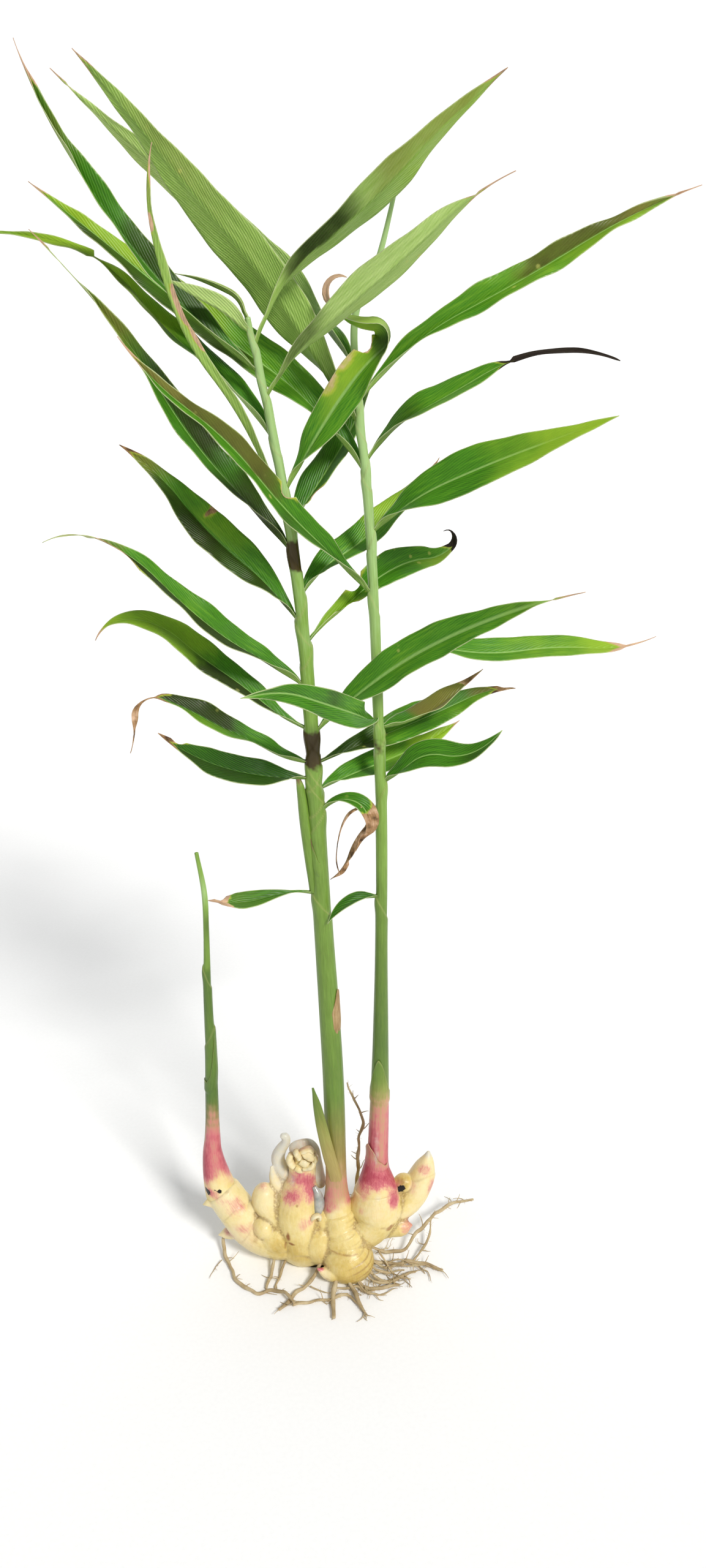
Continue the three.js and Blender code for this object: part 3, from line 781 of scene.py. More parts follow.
# Axis points from base to tip with one radius each, in millimetres. The cream foot and the yellow
# fade with height, blush is the pink between heights, and tone is from dark to light at heights.
# Rims are the height and bearing of sheaths without a leaf, and side is a loose sheath's path.
shoots = {
    "middle": {
        "points": [(0.7, -2, 41.3), (0.8, -1.5, 50), (0.6, -1, 60), (0.3, 0, 74), (-1, 0, 150),
            (-3.5, 0, 210), (-7, 0, 280), (-10, 0, 350), (-13, 0, 420), (-18, 0, 485),
            (-24, 0, 533), (-32, 0, 580), (-41, 0, 625)],
        "radii": [11.6, 9.6, 7.8, 7.1, 7, 6.7, 5.7, 4.9, 4.1, 3.4, 2.8, 2.3, 1.5],
        "foot": (46, 62), "blush": (45, 53, 58, 88), "blushMost": 0.48, "yellow": (78, 148),
        "tone": [(40, 0.4), (90, 0.22), (120, 0.24), (200, 0.38), (350, 0.48), (480, 0.72),
            (560, 1)],
        "side": [(-12.5, -1.5, 296), (-14.5, -1.5, 322), (-17, -1.5, 346), (-19, -1.5, 366),
            (-20.5, -1.5, 373)],
    },
    "right": {
        "points": [(28.5, 4, 57.4), (28.4, 5, 64), (28.2, 6, 72), (29, 6, 84), (29.8, 6, 120),
            (30.2, 6, 170), (30, 6, 250), (29.2, 6, 340), (26.5, 6, 415), (23.5, 6, 480),
            (19.5, 6, 540), (14, 6, 592), (13.5, 6, 627), (24, 6, 650), (33, 6, 684)],
        "radii": [15.2, 12.2, 9.3, 7.2, 6.6, 5.4, 3.8, 3.5, 3.2, 2.9, 2.5, 2.1, 1.8, 1.6, 1.0],
        "foot": (62, 74), "blush": (64, 70, 112, 152), "blushMost": 0.74, "yellow": (120, 162),
        "tone": [(60, 0.4), (130, 0.35), (180, 0.12), (250, 0.28), (340, 0.6), (480, 0.85),
            (560, 1)],
    },
    "left": {
        "points": [(-81.2, 9.2, 49.4), (-84.5, 12, 62), (-86.5, 14, 79), (-86, 15, 92),
            (-85.5, 16, 108), (-84.8, 17, 136), (-84.3, 18, 160), (-83.8, 18, 215),
            (-82.5, 18, 256), (-82.3, 18, 284), (-85.8, 18, 313)],
        "radii": [11.6, 9.4, 6.6, 5.4, 4.7, 4.3, 3.8, 2.7, 1.8, 1.9, 1.2], "foot": (60, 74),
        "blush": (54, 70, 84, 122), "blushMost": 0.8, "yellow": (98, 126),
        "tone": [(115, 0), (135, 0.05), (150, 0.18), (226, 0.1), (230, 0.42), (262, 0.55),
            (286, 0.85), (313, 0.6)], "rims": [(230, 190), (183, 350)],
    },
    "young": {
        "points": [(0.6, -3, 60), (0, -5.4, 74), (-4, -8.4, 95), (-9, -9.4, 122),
            (-12, -9.2, 140), (-14.5, -9, 153)], "radii": [4.6, 4.4, 4.4, 3.8, 2.7, 0.5],
        "squash": 0.5, "foot": (46, 62), "blush": (45, 53, 58, 84), "blushMost": 0.45,
        "yellow": (84, 158), "tone": [(60, 0.5), (110, 0.45), (153, 0.1)],
    },
}


# Each leaf leaves its shoot at a height and grows by its length. rise is its slope and swing its
# turn towards the back, evenly spaced from base to tip, in degrees. roll turns its upper face to
# the front, and fold raises its halves. tone is from dark to light. In the last column, tail is the
# share that is a thread, and widest and sharp shape the rest; dry, yellow and charred start at a
# share of the length. The edge is -1, 1 or 0 for both in a bite (share, edge, depth, reach), in a
# patch of dry leaf (share, edge, reach, strength) and in a tint (kind, from, to, edge, strength).
# Of the tints, the darkest is painted shade, laid where a half or stretch of a blade lies in shade.
leafColumns = ("height", "length", "width", "roll", "rise", "swing", "fold", "tone", "wave")
leafRows = {
    "middle_left": [
        (295, 66, 14, [20], [28, 0, -7, 10, 23], [-20], [40, 25, 16, 24], 0.35, 0.6,
         {"widest": 0.7, "sharp": 2.8, "dry": 0.82, "rib": -1, "pinkTip": 0.7,
         "bites": [(0.93, 1, 0.85, 0.05), (0.88, -1, 0.7, 0.04)],
         "tints": [("olive", 0.3, 0.9, 0, 0.3)]}),
        (372, 94, 20, [38], [9, 16, 30, 46], [-16], [45, 20, 14, 34], 0.0, 0.8, {"widest": 0.45,
         "dry": 0.9, "rib": -1, "bites": [(0.86, -1, 0.6, 0.04)],
         "tints": [("dusk", 0.1, 0.9, 1, 0.5)]}),
        (382, 136, 18, [24], [14, 34, 28, 34, 26, -88, -70], [-8], [45, 34, 26, 36], 0.5, 2.0,
         {"tail": 0.3, "tailWidth": 1.7, "widest": 0.55, "sharp": 1.1, "dry": 0.69, "rib": -1,
         "tints": [("dusk", 0.3, 0.72, -1, 1), ("lime", 0.2, 0.66, 1, 0.3)]}),
        (403, 144, 20, [34], [27, 41, 34, 42, 4, -62], [6], [40, 26, 20, 30], 0.45, 1.2,
         {"widest": 0.5, "dry": 0.97, "yellow": 0.95, "rib": -0.6, "pinkTip": 1,
         "tints": [("lime", 0.45, 1, 0, 0.6), ("dusk", 0.1, 0.52, 1, 1)]}),
        (430, 167, 20, [32], [40, 33, 43, 49, 28, -26], [-8], [44, 30, 26, 46], 0.5, 1.3,
         {"tail": 0.14, "rib": -0.6, "bites": [(0.72, 1, 0.5, 0.05), (0.8, 1, 0.5, 0.03)],
         "tints": [("dusk", 0.1, 0.8, 1, 1), ("olive", 0.78, 1, 0, 0.9)]}),
        (468, 133, 24, [50], [57, 38, 51, 31], [10], [40, 24, 22, 36], 0.55, 1.4, {"widest": 0.48,
         "dry": 0.95, "rib": -1, "patches": [(0.56, -1, 0.025, 1)],
         "tints": [("dusk", 0.0, 0.85, 1, 0.85), ("lime", 0.3, 0.85, -1, 0.35),
             ("olive", 0.75, 1, 0, 0.7)]}),
        (508, 201, 20, [40], [51, 48, 60, 51, 45], [3], [46, 38, 30, 50, 60], 0.42, 1.4,
         {"tail": 0.06, "widest": 0.3, "sharp": 2.3, "dry": 0.97, "rib": -0.6, "pinkTip": 1,
         "tints": [("dusk", 0.0, 0.28, 0, 0.85), ("dusk", 0.25, 0.62, -1, 0.85),
             ("olive", 0.6, 1, 0, 0.55)]}),
        (535, 181, 9, [-17], [68, 63, 52, 70, 82, 108], [-24], [60, 70, 68, 76], 0.5, 0.6,
         {"widest": 0.46, "dry": 0.95, "pinkTip": 0.8,
         "patches": [(0.5, 1, 0.06, 0.8), (0.6, 1, 0.09, 0.8), (0.815, 0, 0.03, 1)],
         "tints": [("dusk", 0.02, 0.4, 1, 0.4), ("olive", 0.8, 1, 0, 0.5)]}),
        (567, 204, 20, [3, 3, 16, 44, 60], [54, 33, 46, 13, 1], [25], [44, 30, 24, 20], 0.6, 1.2,
         {"tail": 0.34, "tailWidth": 6.5, "rib": -0.4,
         "tints": [("lime", 0.35, 1, 0, 0.75), ("dusk", 0.3, 0.7, 1, 0.5)]}),
        (599, 186, 18, [34], [39, 44, 54, 60, 74], [4], [50, 40, 46, 66, 70], 0.4, 1.1,
         {"sharp": 2.2, "dry": 0.93, "rib": -0.5, "pinkTip": 1,
         "tints": [("dusk", 0.12, 0.5, -1, 0.75), ("olive", 0.7, 1, 0, 0.45)]}),
        (618, 46, 14, [-29], [47, 26, 34], [-15], [60, 50, 40], 0.9, 0.4, {}),
        (624, 44, 5, [11], [95, 25, 20, 10], [10], [75, 75, 70], 1, 0.1,
         {"tints": [("olive", 0, 1, 0, 0.4)]}),
    ],
    "middle_right": [
        (351, 86, 12, [25], [67, -16, -126, -106, -139], [-14], [45, 30, 50, 75, 80], 0.4, 1.6,
         {"dry": 0.38, "bites": [(0.55, 1, 0.7, 0.05), (0.75, -1, 0.8, 0.05)],
         "strand": [(17, -8, 357), (10, -8.5, 353), (5, -8, 343), (2, -8, 322), (4, -8, 311)]}),
        (364, 103, 20, [26], [14, 7, 12, 26], [32], [45, 26, 20, 24], 0.55, 1.0, {"dry": 0.96,
         "pinkTip": 1, "tints": [("lime", 0.4, 1, 0, 0.4), ("lime", 0.6, 1, 0, 0.85)]}),
        (381, 134, 24, [38], [13, 12, 14, 19, -7], [30, 24, 16], [45, 26, 18, 30], 0.5, 1.2,
         {"widest": 0.58, "sharp": 1.5, "dry": 0.91, "rib": -0.6,
         "bites": [(0.95, -1, 0.7, 0.03)],
         "tints": [("dusk", 0, 0.35, 0, 0.6), ("olive", 0.75, 1, -1, 0.8),
             ("lime", 0.55, 0.9, 1, 0.35)]}),
        (402, 179, 23, [60], [48, 41, 32, 26, 18], [0, -20, -30, -26], [42, 26, 20, 30], 0.5, 1.2,
         {"tail": 0.1, "widest": 0.42, "dry": 0.93, "rib": 1, "pinkTip": 0.8,
         "tints": [("lime", 0.75, 0.95, 0, 0.5)]}),
        (455, 125, 24, [10, 16, 40, 48, 48, 40, 20, 0], [52, 28, 35, 26, 13, -4, 32, 205], [32],
         [70, 60, 26, 22], 0.5, 1.0, {"widest": 0.58, "dry": 0.88, "charred": 0.93,
         "bites": [(0.22, 1, 0.8, 0.05), (0.32, -1, 0.7, 0.04)],
         "tints": [("lime", 0.05, 0.35, 0, 0.6), ("lime", 0.6, 0.9, 1, 0.5)], "specks": 1}),
        (483, 111, 22, [22], [56, 22, 37, 32, 59], [31], [44, 26, 22, 50], 0.48, 0.9,
         {"dry": 0.95, "tints": [("lime", 0.45, 0.9, -1, 0.6), ("olive", 0.75, 1, 0, 0.6)]}),
        (523, 85, 22, [10], [46, 49, 63], [38], [44, 26, 26], 0.35, 0.9,
         {"bites": [(0.2, 1, 0.5, 0.05)], "tints": [("dusk", 0.3, 1, 0, 0.5)]}),
        (540, 152, 20, [80, 86, 92, 92, 92, 66, 40, 20, 24, 66, 74],
         [65, 60, 57, 51, 38, 186, 142, -27], [-10], [40, 31, 22, 21, 20, 30, 40, 52, 46, 14, 8],
         0.6, 0.9, {"tail": 0.14, "tailWidth": 4.6, "widest": 0.52, "sharp": 1.4, "dry": 0.84,
         "rib": 0.6, "pinkTip": 1, "bites": [(0.53, -1, 0.55, 0.03)],
         "patches": [(0.37, -1, 0.05, 0.45), (0.47, -1, 0.05, 0.4), (0.53, -1, 0.02, 1)],
         "tints": [("dusk", 0.56, 0.66, 0, 0.8), ("lime", 0.66, 0.84, 0, 0.7),
             ("lime", 0.28, 0.55, -1, 0.6)]}),
        (587, 162, 20, [-44], [57, 36, 37, 42, 24], [-38, -20, -10], [56, 44, 26, 36], 0.8, 0.9,
         {"tail": 0.12, "widest": 0.58, "sharp": 2.5, "dry": 0.89, "pinkTip": 0.9,
         "tints": [("dusk", 0.05, 0.32, 1, 0.7)]}),
        (612, 171, 18, [-48], [75, 34, 44, 36], [-14], [56, 26, 20, 40], 0.66, 1.0,
         {"widest": 0.58, "sharp": 2.5, "dry": 0.97, "pinkTip": 0.6,
         "tints": [("dusk", 0.2, 0.5, 1, 0.85), ("olive", 0.5, 0.95, 1, 0.5),
             ("lime", 0.6, 1, 0, 0.45)]}),
    ],
    "right_left": [
        (289, 37, 11, [2], [18, -5, -32, -54], [-25], [50, 26, 24], 0.15, 0.3, {"rib": -1}),
        (405, 124, 18, [85], [31, 27, 27, -3], [-68, -36], [44, 24, 22, 22], 0.45, 1.7,
         {"sharp": 1.6, "tints": [("dusk", 0.4, 0.55, -1, 0.6)]}),
        (482, 190, 17, [61], [49, 44, 52, 37, 56], [-26], [44, 30, 30, 40], 0.42, 1.2,
         {"dry": 0.96, "rib": -0.3, "pinkTip": 1, "bites": [(0.4, -1, 0.6, 0.025)],
         "tints": [("olive", 0.42, 1, -1, 0.8), ("dusk", 0.4, 0.8, -1, 0.5),
             ("dusk", 0.05, 0.4, 1, 0.4)]}),
        (549, 223, 26, [46], [56, 32, 38, 37], [22, 14, 4, 4], [46, 30, 26, 34], 0.62, 1.2,
         {"dry": 0.985, "rib": -0.4, "pinkTip": 1,
         "tints": [("dusk", 0.3, 0.9, 1, 0.8), ("lime", 0.45, 1, -1, 0.9)]}),
        (573, 220, 26, [-73], [58, 57, 47, 50, 45], [2, 12], [40, 14, 8, 20], 0.55, 1.0,
         {"widest": 0.4, "dry": 0.975, "rib": 1, "pinkTip": 1,
         "tints": [("dusk", 0, 0.2, 0, 0.5), ("olive", 0.4, 1, 1, 0.3)]}),
        (601, 219, 24, [-66], [46, 38, 38, 39, 43], [46, 14, 6], [46, 20, 14, 24], 0.8, 1.0,
         {"tail": 0.05, "dry": 0.96, "pinkTip": 1,
         "tints": [("dusk", 0, 0.25, 0, 0.4), ("olive", 0.5, 1, 0, 0.25)]}),
    ],
    "right_right": [
        (367, 80, 18, [42], [45, 43, -8, 32, 57], [-10], [44, 22, 16, 24], 0.3, 1.8,
         {"sharp": 1.6, "rib": -0.4, "tints": [("dusk", 0.6, 0.8, 1, 0.6)]}),
        (401, 75, 20, [-3], [-5, 23, 36], [30], [44, 30, 40], 0.4, 1.0, {"dry": 0.8,
         "tints": [("olive", 0.3, 1, 0, 0.9)]}),
        (442, 176, 18, [34], [21, -14, 3, -9, 19], [16], [44, 26, 20, 24], 0.58, 0.6,
         {"tail": 0.12, "widest": 0.5, "sharp": 1.0, "dry": 0.86, "yellow": 1.0, "pinkTip": 0.9,
         "tints": [("lime", 0.45, 0.9, 0, 0.45), ("lime", 0.66, 0.9, 0, 0.7)]}),
        (516, 141, 25, [60], [47, 26, 22, 22], [-14], [40, 20, 14, 14], 0.5, 1.0, {"widest": 0.45,
         "tints": [("lime", 0.48, 1, 0, 0.4), ("lime", 0.66, 1, 0, 0.75),
             ("lime", 0.8, 1, 0, 0.95)]}),
        (554, 145, 20, [30, 30, 46, 66], [62, 28, 31, 8, -21], [-6], [44, 24, 20, 10], 0.5, 0.9,
         {"tail": 0.38, "tailWidth": 4.2, "widest": 0.5, "sharp": 2.4, "charred": 0.6,
         "rib": -0.5, "tints": [("dusk", 0, 0.28, 0, 0.6)]}),
        (585, 200, 17, [54], [53, 26, 30, 19], [6], [56, 44, 30, 40], 0.62, 2.2, {"tail": 0.06,
         "widest": 0.46, "dry": 0.95, "rib": -0.5, "pinkTip": 1,
         "tints": [("dusk", 0.04, 0.35, -1, 0.3), ("dusk", 0.5, 0.8, -1, 0.55),
             ("olive", 0.5, 1, -1, 0.75), ("lime", 0.55, 1, 1, 0.5),
             ("olive", 0.85, 1, 0, 0.6)]}),
    ],
}


leaves = {
    rank: [dict(zip(leafColumns, row), **row[-1]) for row in rows]
    for rank, rows in leafRows.items()
}


def leafHeading(row, side, shares):
    up = np.radians(spread(row["rise"], shares))
    back = np.radians(spread(row["swing"], shares))
    return np.stack([side * np.cos(back) * np.cos(up), np.sin(back) * np.cos(up), np.sin(up)], -1)


def shootNodes(name):
    # where the leaves leave a shoot: height and bearing, counted from +X to +Y
    nodes = [(height, math.radians(turn)) for height, turn in shoots[name].get("rims", [])]
    for rank, rows in leaves.items():
        shoot, sideName = rank.split("_")
        if shoot == name:
            for row in rows:
                turn = math.radians(row["swing"][0])
                nodes.append((row["height"], turn if sideName == "right" else math.pi - turn))
    return sorted(nodes)


def shootMasks(name, places, bearing):
    # how a shoot and its sheaths are coloured at their height
    form = shoots[name]
    height = places[:, 2]
    uneven = 2.5 * ripple(name, places, 5) + 2.5 * np.sin(bearing * 2 + 1)
    uneven = uneven + ripple("edge", places, 1.6)
    low, lowFull, highFull, high = form["blush"]
    blush = ease(height + uneven, low, lowFull) * (1 - ease(height + 2 * uneven, highFull, high))
    masks = {
        "blush": form["blushMost"] * blush * (0.85 + 0.2 * np.cos(bearing * 3 + 0.6)),
        "yellow": 1 - ease(height + uneven, *form["yellow"]),
        "foot": 1 - ease(height + uneven, *form["foot"]),
        "tone": np.interp(height, *zip(*form["tone"])),
        "straw": 0.3 + 0 * height,
    }
    for kind in ("pale", "stain", "soil", "rim", "dry", "dusk"):
        masks[kind] = 0 * height
    addMarks(places, masks)
    return masks


shootShape = {
    "step": 1.1,  # rows are this far apart
    "sides": 40,
    "top": 640,  # rims and nodes get smaller towards this height
    "rimStep": 0.32,  # how far a sheath stands proud at its rim
    "rimDrop": 17,  # how much lower a rim is opposite its leaf
    "rimReach": 13,  # how far from its rim a sheath is felt
    "rimLine": 0.7,
    "nodeSwelling": 0.7,
    "nodeReach": 6,
    "furrow": 0.1,
    "furrows": 14,
    "sunk": 2.5,  # how far a shoot starts below its solid, inside the rhizome
}


def makeSideSheath(name, points):
    # the loose side of a sheath, withered at its end
    piece, facts = tube("sideSheath", points, [2, 3.4, 3.3, 2.5, 1.2], 1.2, 20)
    masks = shootMasks(name, facts["places"], facts["angle"])
    masks["dry"] = ease(facts["share"] + 0.04 * np.sin(facts["angle"] * 5), 0.84, 0.96)
    masks["rim"] = 0.6 * ease(facts["share"], 0.78, 0.86)
    setMasks(piece, masks)
    return piece


def makeShoot(name):
    form = shoots[name]
    start, second = np.array(form["points"][:2], float)
    foot = start - unit(second - start) * shootShape["sunk"]
    points = [tuple(foot)] + form["points"]
    radii = [form["radii"][0] * 0.97] + form["radii"]
    piece, facts = tube(
        "shoot" + name.capitalize(), points, radii, shootShape["step"], shootShape["sides"],
        form.get("squash", 1),
    )
    places = facts["places"]
    off = places - pathAt(points, facts["share"])
    bearing = np.arctan2(off[:, 1], off[:, 0])
    height = places[:, 2]
    proud = np.zeros(len(places))
    rim = np.zeros(len(places))
    for nodeHeight, turn in shootNodes(name):
        facing = (1 - np.cos(bearing - turn)) / 2
        scale = min(1, 0.45 + (shootShape["top"] - nodeHeight) / 400)
        gap = nodeHeight + 1 - shootShape["rimDrop"] * scale * facing**0.7 - height
        near = np.exp(-np.abs(gap) / shootShape["rimReach"])
        proud += shootShape["rimStep"] * scale * np.sign(gap) * near * np.tanh(np.abs(gap) / 0.5)
        rim = np.maximum(rim, np.exp(-(((gap - 0.4) / shootShape["rimLine"]) ** 2)))
        bulge = np.exp(-(((height - nodeHeight + 5) / shootShape["nodeReach"]) ** 2))
        bulge = bulge * np.clip(np.cos(bearing - turn), 0, 1) ** 2
        proud += shootShape["nodeSwelling"] * scale * bulge
    radius = np.linalg.norm(off, axis=1)
    furrows = np.cos(bearing * shootShape["furrows"] + height / 90)
    proud += shootShape["furrow"] * furrows * np.clip(radius / 5, 0, 1)
    outward = off / np.maximum(radius, 1e-6)[:, None]
    places = places + outward * np.where(radius > 0.3, proud, 0)[:, None]
    placeCorners(piece, places * mm)
    masks = shootMasks(name, places, bearing)
    masks["rim"] = rim
    setMasks(piece, masks)
    if "side" in form:
        piece = joinPieces([piece, makeSideSheath(name, form["side"])])
    closeUp(piece)
    finishPiece(piece, ["shoot_" + name], [shootSkin])


for shootName in shoots:
    makeShoot(shootName)
say("shoots")


# from, rim and tip are heights and towards is the bearing of the tip. dried is the share of the
# height where a sheath is withered, and narrow how much of its ring is hidden beside its tip.
sheaths = {
    "sheath_middle_low": {"shoot": "middle", "from": 188, "rim": 196, "tip": 226, "towards": -20,
        "dried": 0.1, "narrow": 0.75, "husk": True},
    "sheath_middle_high": {"shoot": "middle", "from": 306, "rim": 316, "tip": 342, "towards": 190,
        "dried": 0.7, "narrow": 0.4},
    "sheath_right_low": {"shoot": "right", "from": 74, "rim": 80, "tip": 97, "towards": 215,
        "flare": 2.2, "narrow": 0.15, "blush": (0.72, -0.3)},
    "sheath_right_high": {"shoot": "right", "from": 128, "rim": 138, "tip": 168, "towards": 260,
        "lighter": 0.12},
    "sheath_left": {"shoot": "left", "from": 128, "rim": 140, "tip": 183, "towards": 345},
}
sheathShape = {
    "cells": (64, 34),
    "wall": 0.35,
    "sunk": -0.5,  # where a sheath starts, inside its shoot
    "rise": 1.0,  # how far it comes out from there
    "flare": 0.4,
    "ragged": 0.5,
}


def shootAt(name, heights):
    shares = np.linspace(0, 1, 400)
    middle = pathAt(shoots[name]["points"], shares)
    radius = softRadii(shoots[name]["radii"], shares)
    centre = np.stack([np.interp(heights, middle[:, 2], middle[:, i]) for i in (0, 1)], -1)
    return centre, np.interp(heights, middle[:, 2], radius)


def makeSheath(name, form):
    words = name.split("_")
    camel = words[0] + "".join(w.capitalize() for w in words[1:])
    piece, u, v = newGrid(camel, *sheathShape["cells"])
    angle = np.pi * (u + 1)
    lift = (1 + np.cos(angle - math.radians(form["towards"]))) / 2
    ragged = sheathShape["ragged"] * np.sin(angle * 9) * v
    top = form["rim"] + (form["tip"] - form["rim"]) * lift**4 + ragged
    height = form["from"] + (top - form["from"]) * v
    centre, radius = shootAt(form["shoot"], height)
    narrow = form.get("narrow", -1)
    shown = ease(lift, narrow, narrow + 0.25)
    snug = sheathShape["sunk"] + sheathShape["rise"] * ease(v, 0.0, 0.45) * shown
    reach = radius + snug + 0.45 * form.get("flare", sheathShape["flare"]) * lift**2 * v**3
    right, back = np.cos(angle) * reach, np.sin(angle) * reach
    places = np.stack([centre[:, 0] + right, centre[:, 1] + back, height], 1)
    placeCorners(piece, places * mm)
    setVector(piece, "grain", np.stack([right, back, height], 1))
    masks = shootMasks(form["shoot"], places, angle)
    if "blush" in form:
        masks["blush"] = form["blush"][0] + form["blush"][1] * v
    masks["tone"] = masks["tone"] + form.get("lighter", 0)
    masks["rim"] = 0.8 * ease(v, 0.94, 0.99)
    dried = form.get("dried", 1)
    masks["dry"] = ease(v * lift, dried, dried + 0.2)
    setMasks(piece, masks)
    closeUp(piece)
    addModifier(piece, "SOLIDIFY", thickness=sheathShape["wall"] * mm, offset=0)
    slot, material = ("dried_husk", driedHusk) if "husk" in form else ("sheath", shootSkin)
    finishPiece(piece, [name], [material])


for sheathName, sheathForm in sheaths.items():
    makeSheath(sheathName, sheathForm)
say("sheaths")


leafShape = {
    "cellsAcross": 16,
    "step": 2.0,  # millimetres between rows
    "thickness": 0.34,
    "groove": 0.45,  # depth of the midrib's furrow
    "stalkWidth": 3.4,
    "stalkFold": 62,  # degrees
    "tailWidth": 1.3,
    "tipWidth": 0.35,
    "widest": 0.38,  # share of the length
    "sharp": 1.84,  # how much a blade narrows towards its ends
    "gap": 0.75,  # from the shoot's face to the midrib, as on the solids
    "sunk": 0.6,  # how far the foot of a midrib goes into its shoot
    "uneven": 0.03,  # share by which the width comes and goes
    "waveHeight": 0.78,
    "waveLength": (38, 54),
}


def leafOutline(row, shares):
    share = np.minimum(shares / (1 - row.get("tail", 0)), 1)
    widest = row.get("widest", leafShape["widest"])
    sharp = row.get("sharp", leafShape["sharp"])
    rising = (share / widest) ** (sharp * widest)
    return rising * ((1 - share) / (1 - widest)) ** (sharp * (1 - widest))


def makeStrand(points):
    # a withered shred that hangs from a torn leaf
    radii = [1.2, 1.9, 2.2, 1.3, 0.7, 1.3, 0.4]
    piece = tube("leafStrand", points, radii, 1.0, 14, 0.35)[0]
    setMasks(piece, {"dry": 1, "tone": 0.4})
    piece.data.materials.append(upperLeaf)
    closeUp(piece)
    return piece


def leafFrame(shoot, side, row, count):
    # the midrib from the shoot outwards, and the directions across the blade and out of its face
    shares = np.linspace(0, 1, count + 1)
    centre, radius = shootAt(shoot, row["height"])
    outward = leafHeading({"rise": [0], "swing": row["swing"][:1]}, side, np.zeros(1))[0]
    start = np.array([*centre, row["height"]]) + outward * (radius + leafShape["gap"])
    runs = leafHeading(row, side, (np.arange(count) + 0.5) / count) * row["length"] / count
    midrib = np.vstack([start, start + np.cumsum(runs, axis=0)])
    sunk = (leafShape["gap"] + leafShape["sunk"]) * (1 - ease(shares, 0, 0.1))
    midrib -= outward * sunk[:, None]
    forward = leafHeading(row, side, shares)
    back = np.radians(spread(row["swing"], shares))
    front = np.stack([side * np.sin(back), -np.cos(back), np.zeros(len(back))], 1)
    upper = np.cross(front, forward) * side
    turn = (np.radians(spread(row["roll"], shares)) * ease(shares, 0, 0.3))[:, None]
    across = front * np.cos(turn) - upper * np.sin(turn)
    return midrib, across, upper * np.cos(turn) + front * np.sin(turn)


def leafHalf(row, shares):
    # half the width of the blade, the stalk and the thread at its end
    tail, tip = row.get("tail", 0), leafShape["tipWidth"]
    thread = row.get("tailWidth", leafShape["tailWidth"])
    thread = thread * (1 - 0.7 * ease(shares, 1 - tail, 1.001))
    slim = np.where(shares > 1 - tail, thread, leafShape["stalkWidth"] * (1 - shares))
    half = np.maximum(row["width"] * leafOutline(row, shares), np.maximum(slim, tip)) / 2
    return np.minimum(half, tip / 2 + (1 - shares) * max(row["length"] * 0.12, 24))


def leafMasks(name, row, u, v, places):
    # where a leaf is dry, charred, tinted and so on
    speckle = ripple(name + "speckle", places, 3.2)
    dry = np.zeros(len(u))
    for key in ("dry", "charred"):
        if key in row:
            reached = v + 0.05 * np.abs(u) + 0.012 * speckle
            dry = np.maximum(dry, ease(reached, row[key] - 0.02, row[key] + 0.04))
    for place, side, reach, strength in row.get("patches", []):
        spot = np.hypot((v - place) / reach, (u - side) / 0.8)
        dry = np.maximum(dry, strength * (1 - ease(spot + 0.22 * speckle, 0.5, 0.9)))
    for place, side, _, reach in row.get("bites", []):
        near = np.exp(-(((v - place) / (reach * 1.4)) ** 2)) * ease(u * side, 0.7, 0.95)
        dry = np.maximum(dry, 0.8 * near)
    yellow = 0 * v
    if "yellow" in row:
        yellow = ease(v, row["yellow"] - 0.25, row["yellow"] + 0.3)
    tone = row["tone"] + 0.06 * ripple(name, places, 22) - 0.12 * (1 - ease(v, 0, 0.35))
    masks = {"tone": tone, "dry": dry}
    masks["yellow"] = np.maximum(yellow, 0.8 * ease(dry, 0.02, 0.3)) * 0.9
    masks.update({"lime": 0 * v, "olive": 0 * v, "dusk": 0 * v})
    for kind, low, high, edge, strength in row.get("tints", []):
        along = v + 0.012 * speckle - 0.03 * u * edge
        there = ease(along, low - 0.09, low + 0.09)
        if high < 1:
            there = there * (1 - ease(along, high - 0.1, high + 0.06))
        if edge:
            there = there * ease(u * edge + 0.03 * speckle, -0.04, 0.1)
        masks[kind] = np.maximum(masks[kind], strength * there)
    for kind in ("rib", "specks", "pinkTip"):
        masks[kind] = row.get(kind, 0)
    masks["charred"] = 1 if "charred" in row else 0
    return masks


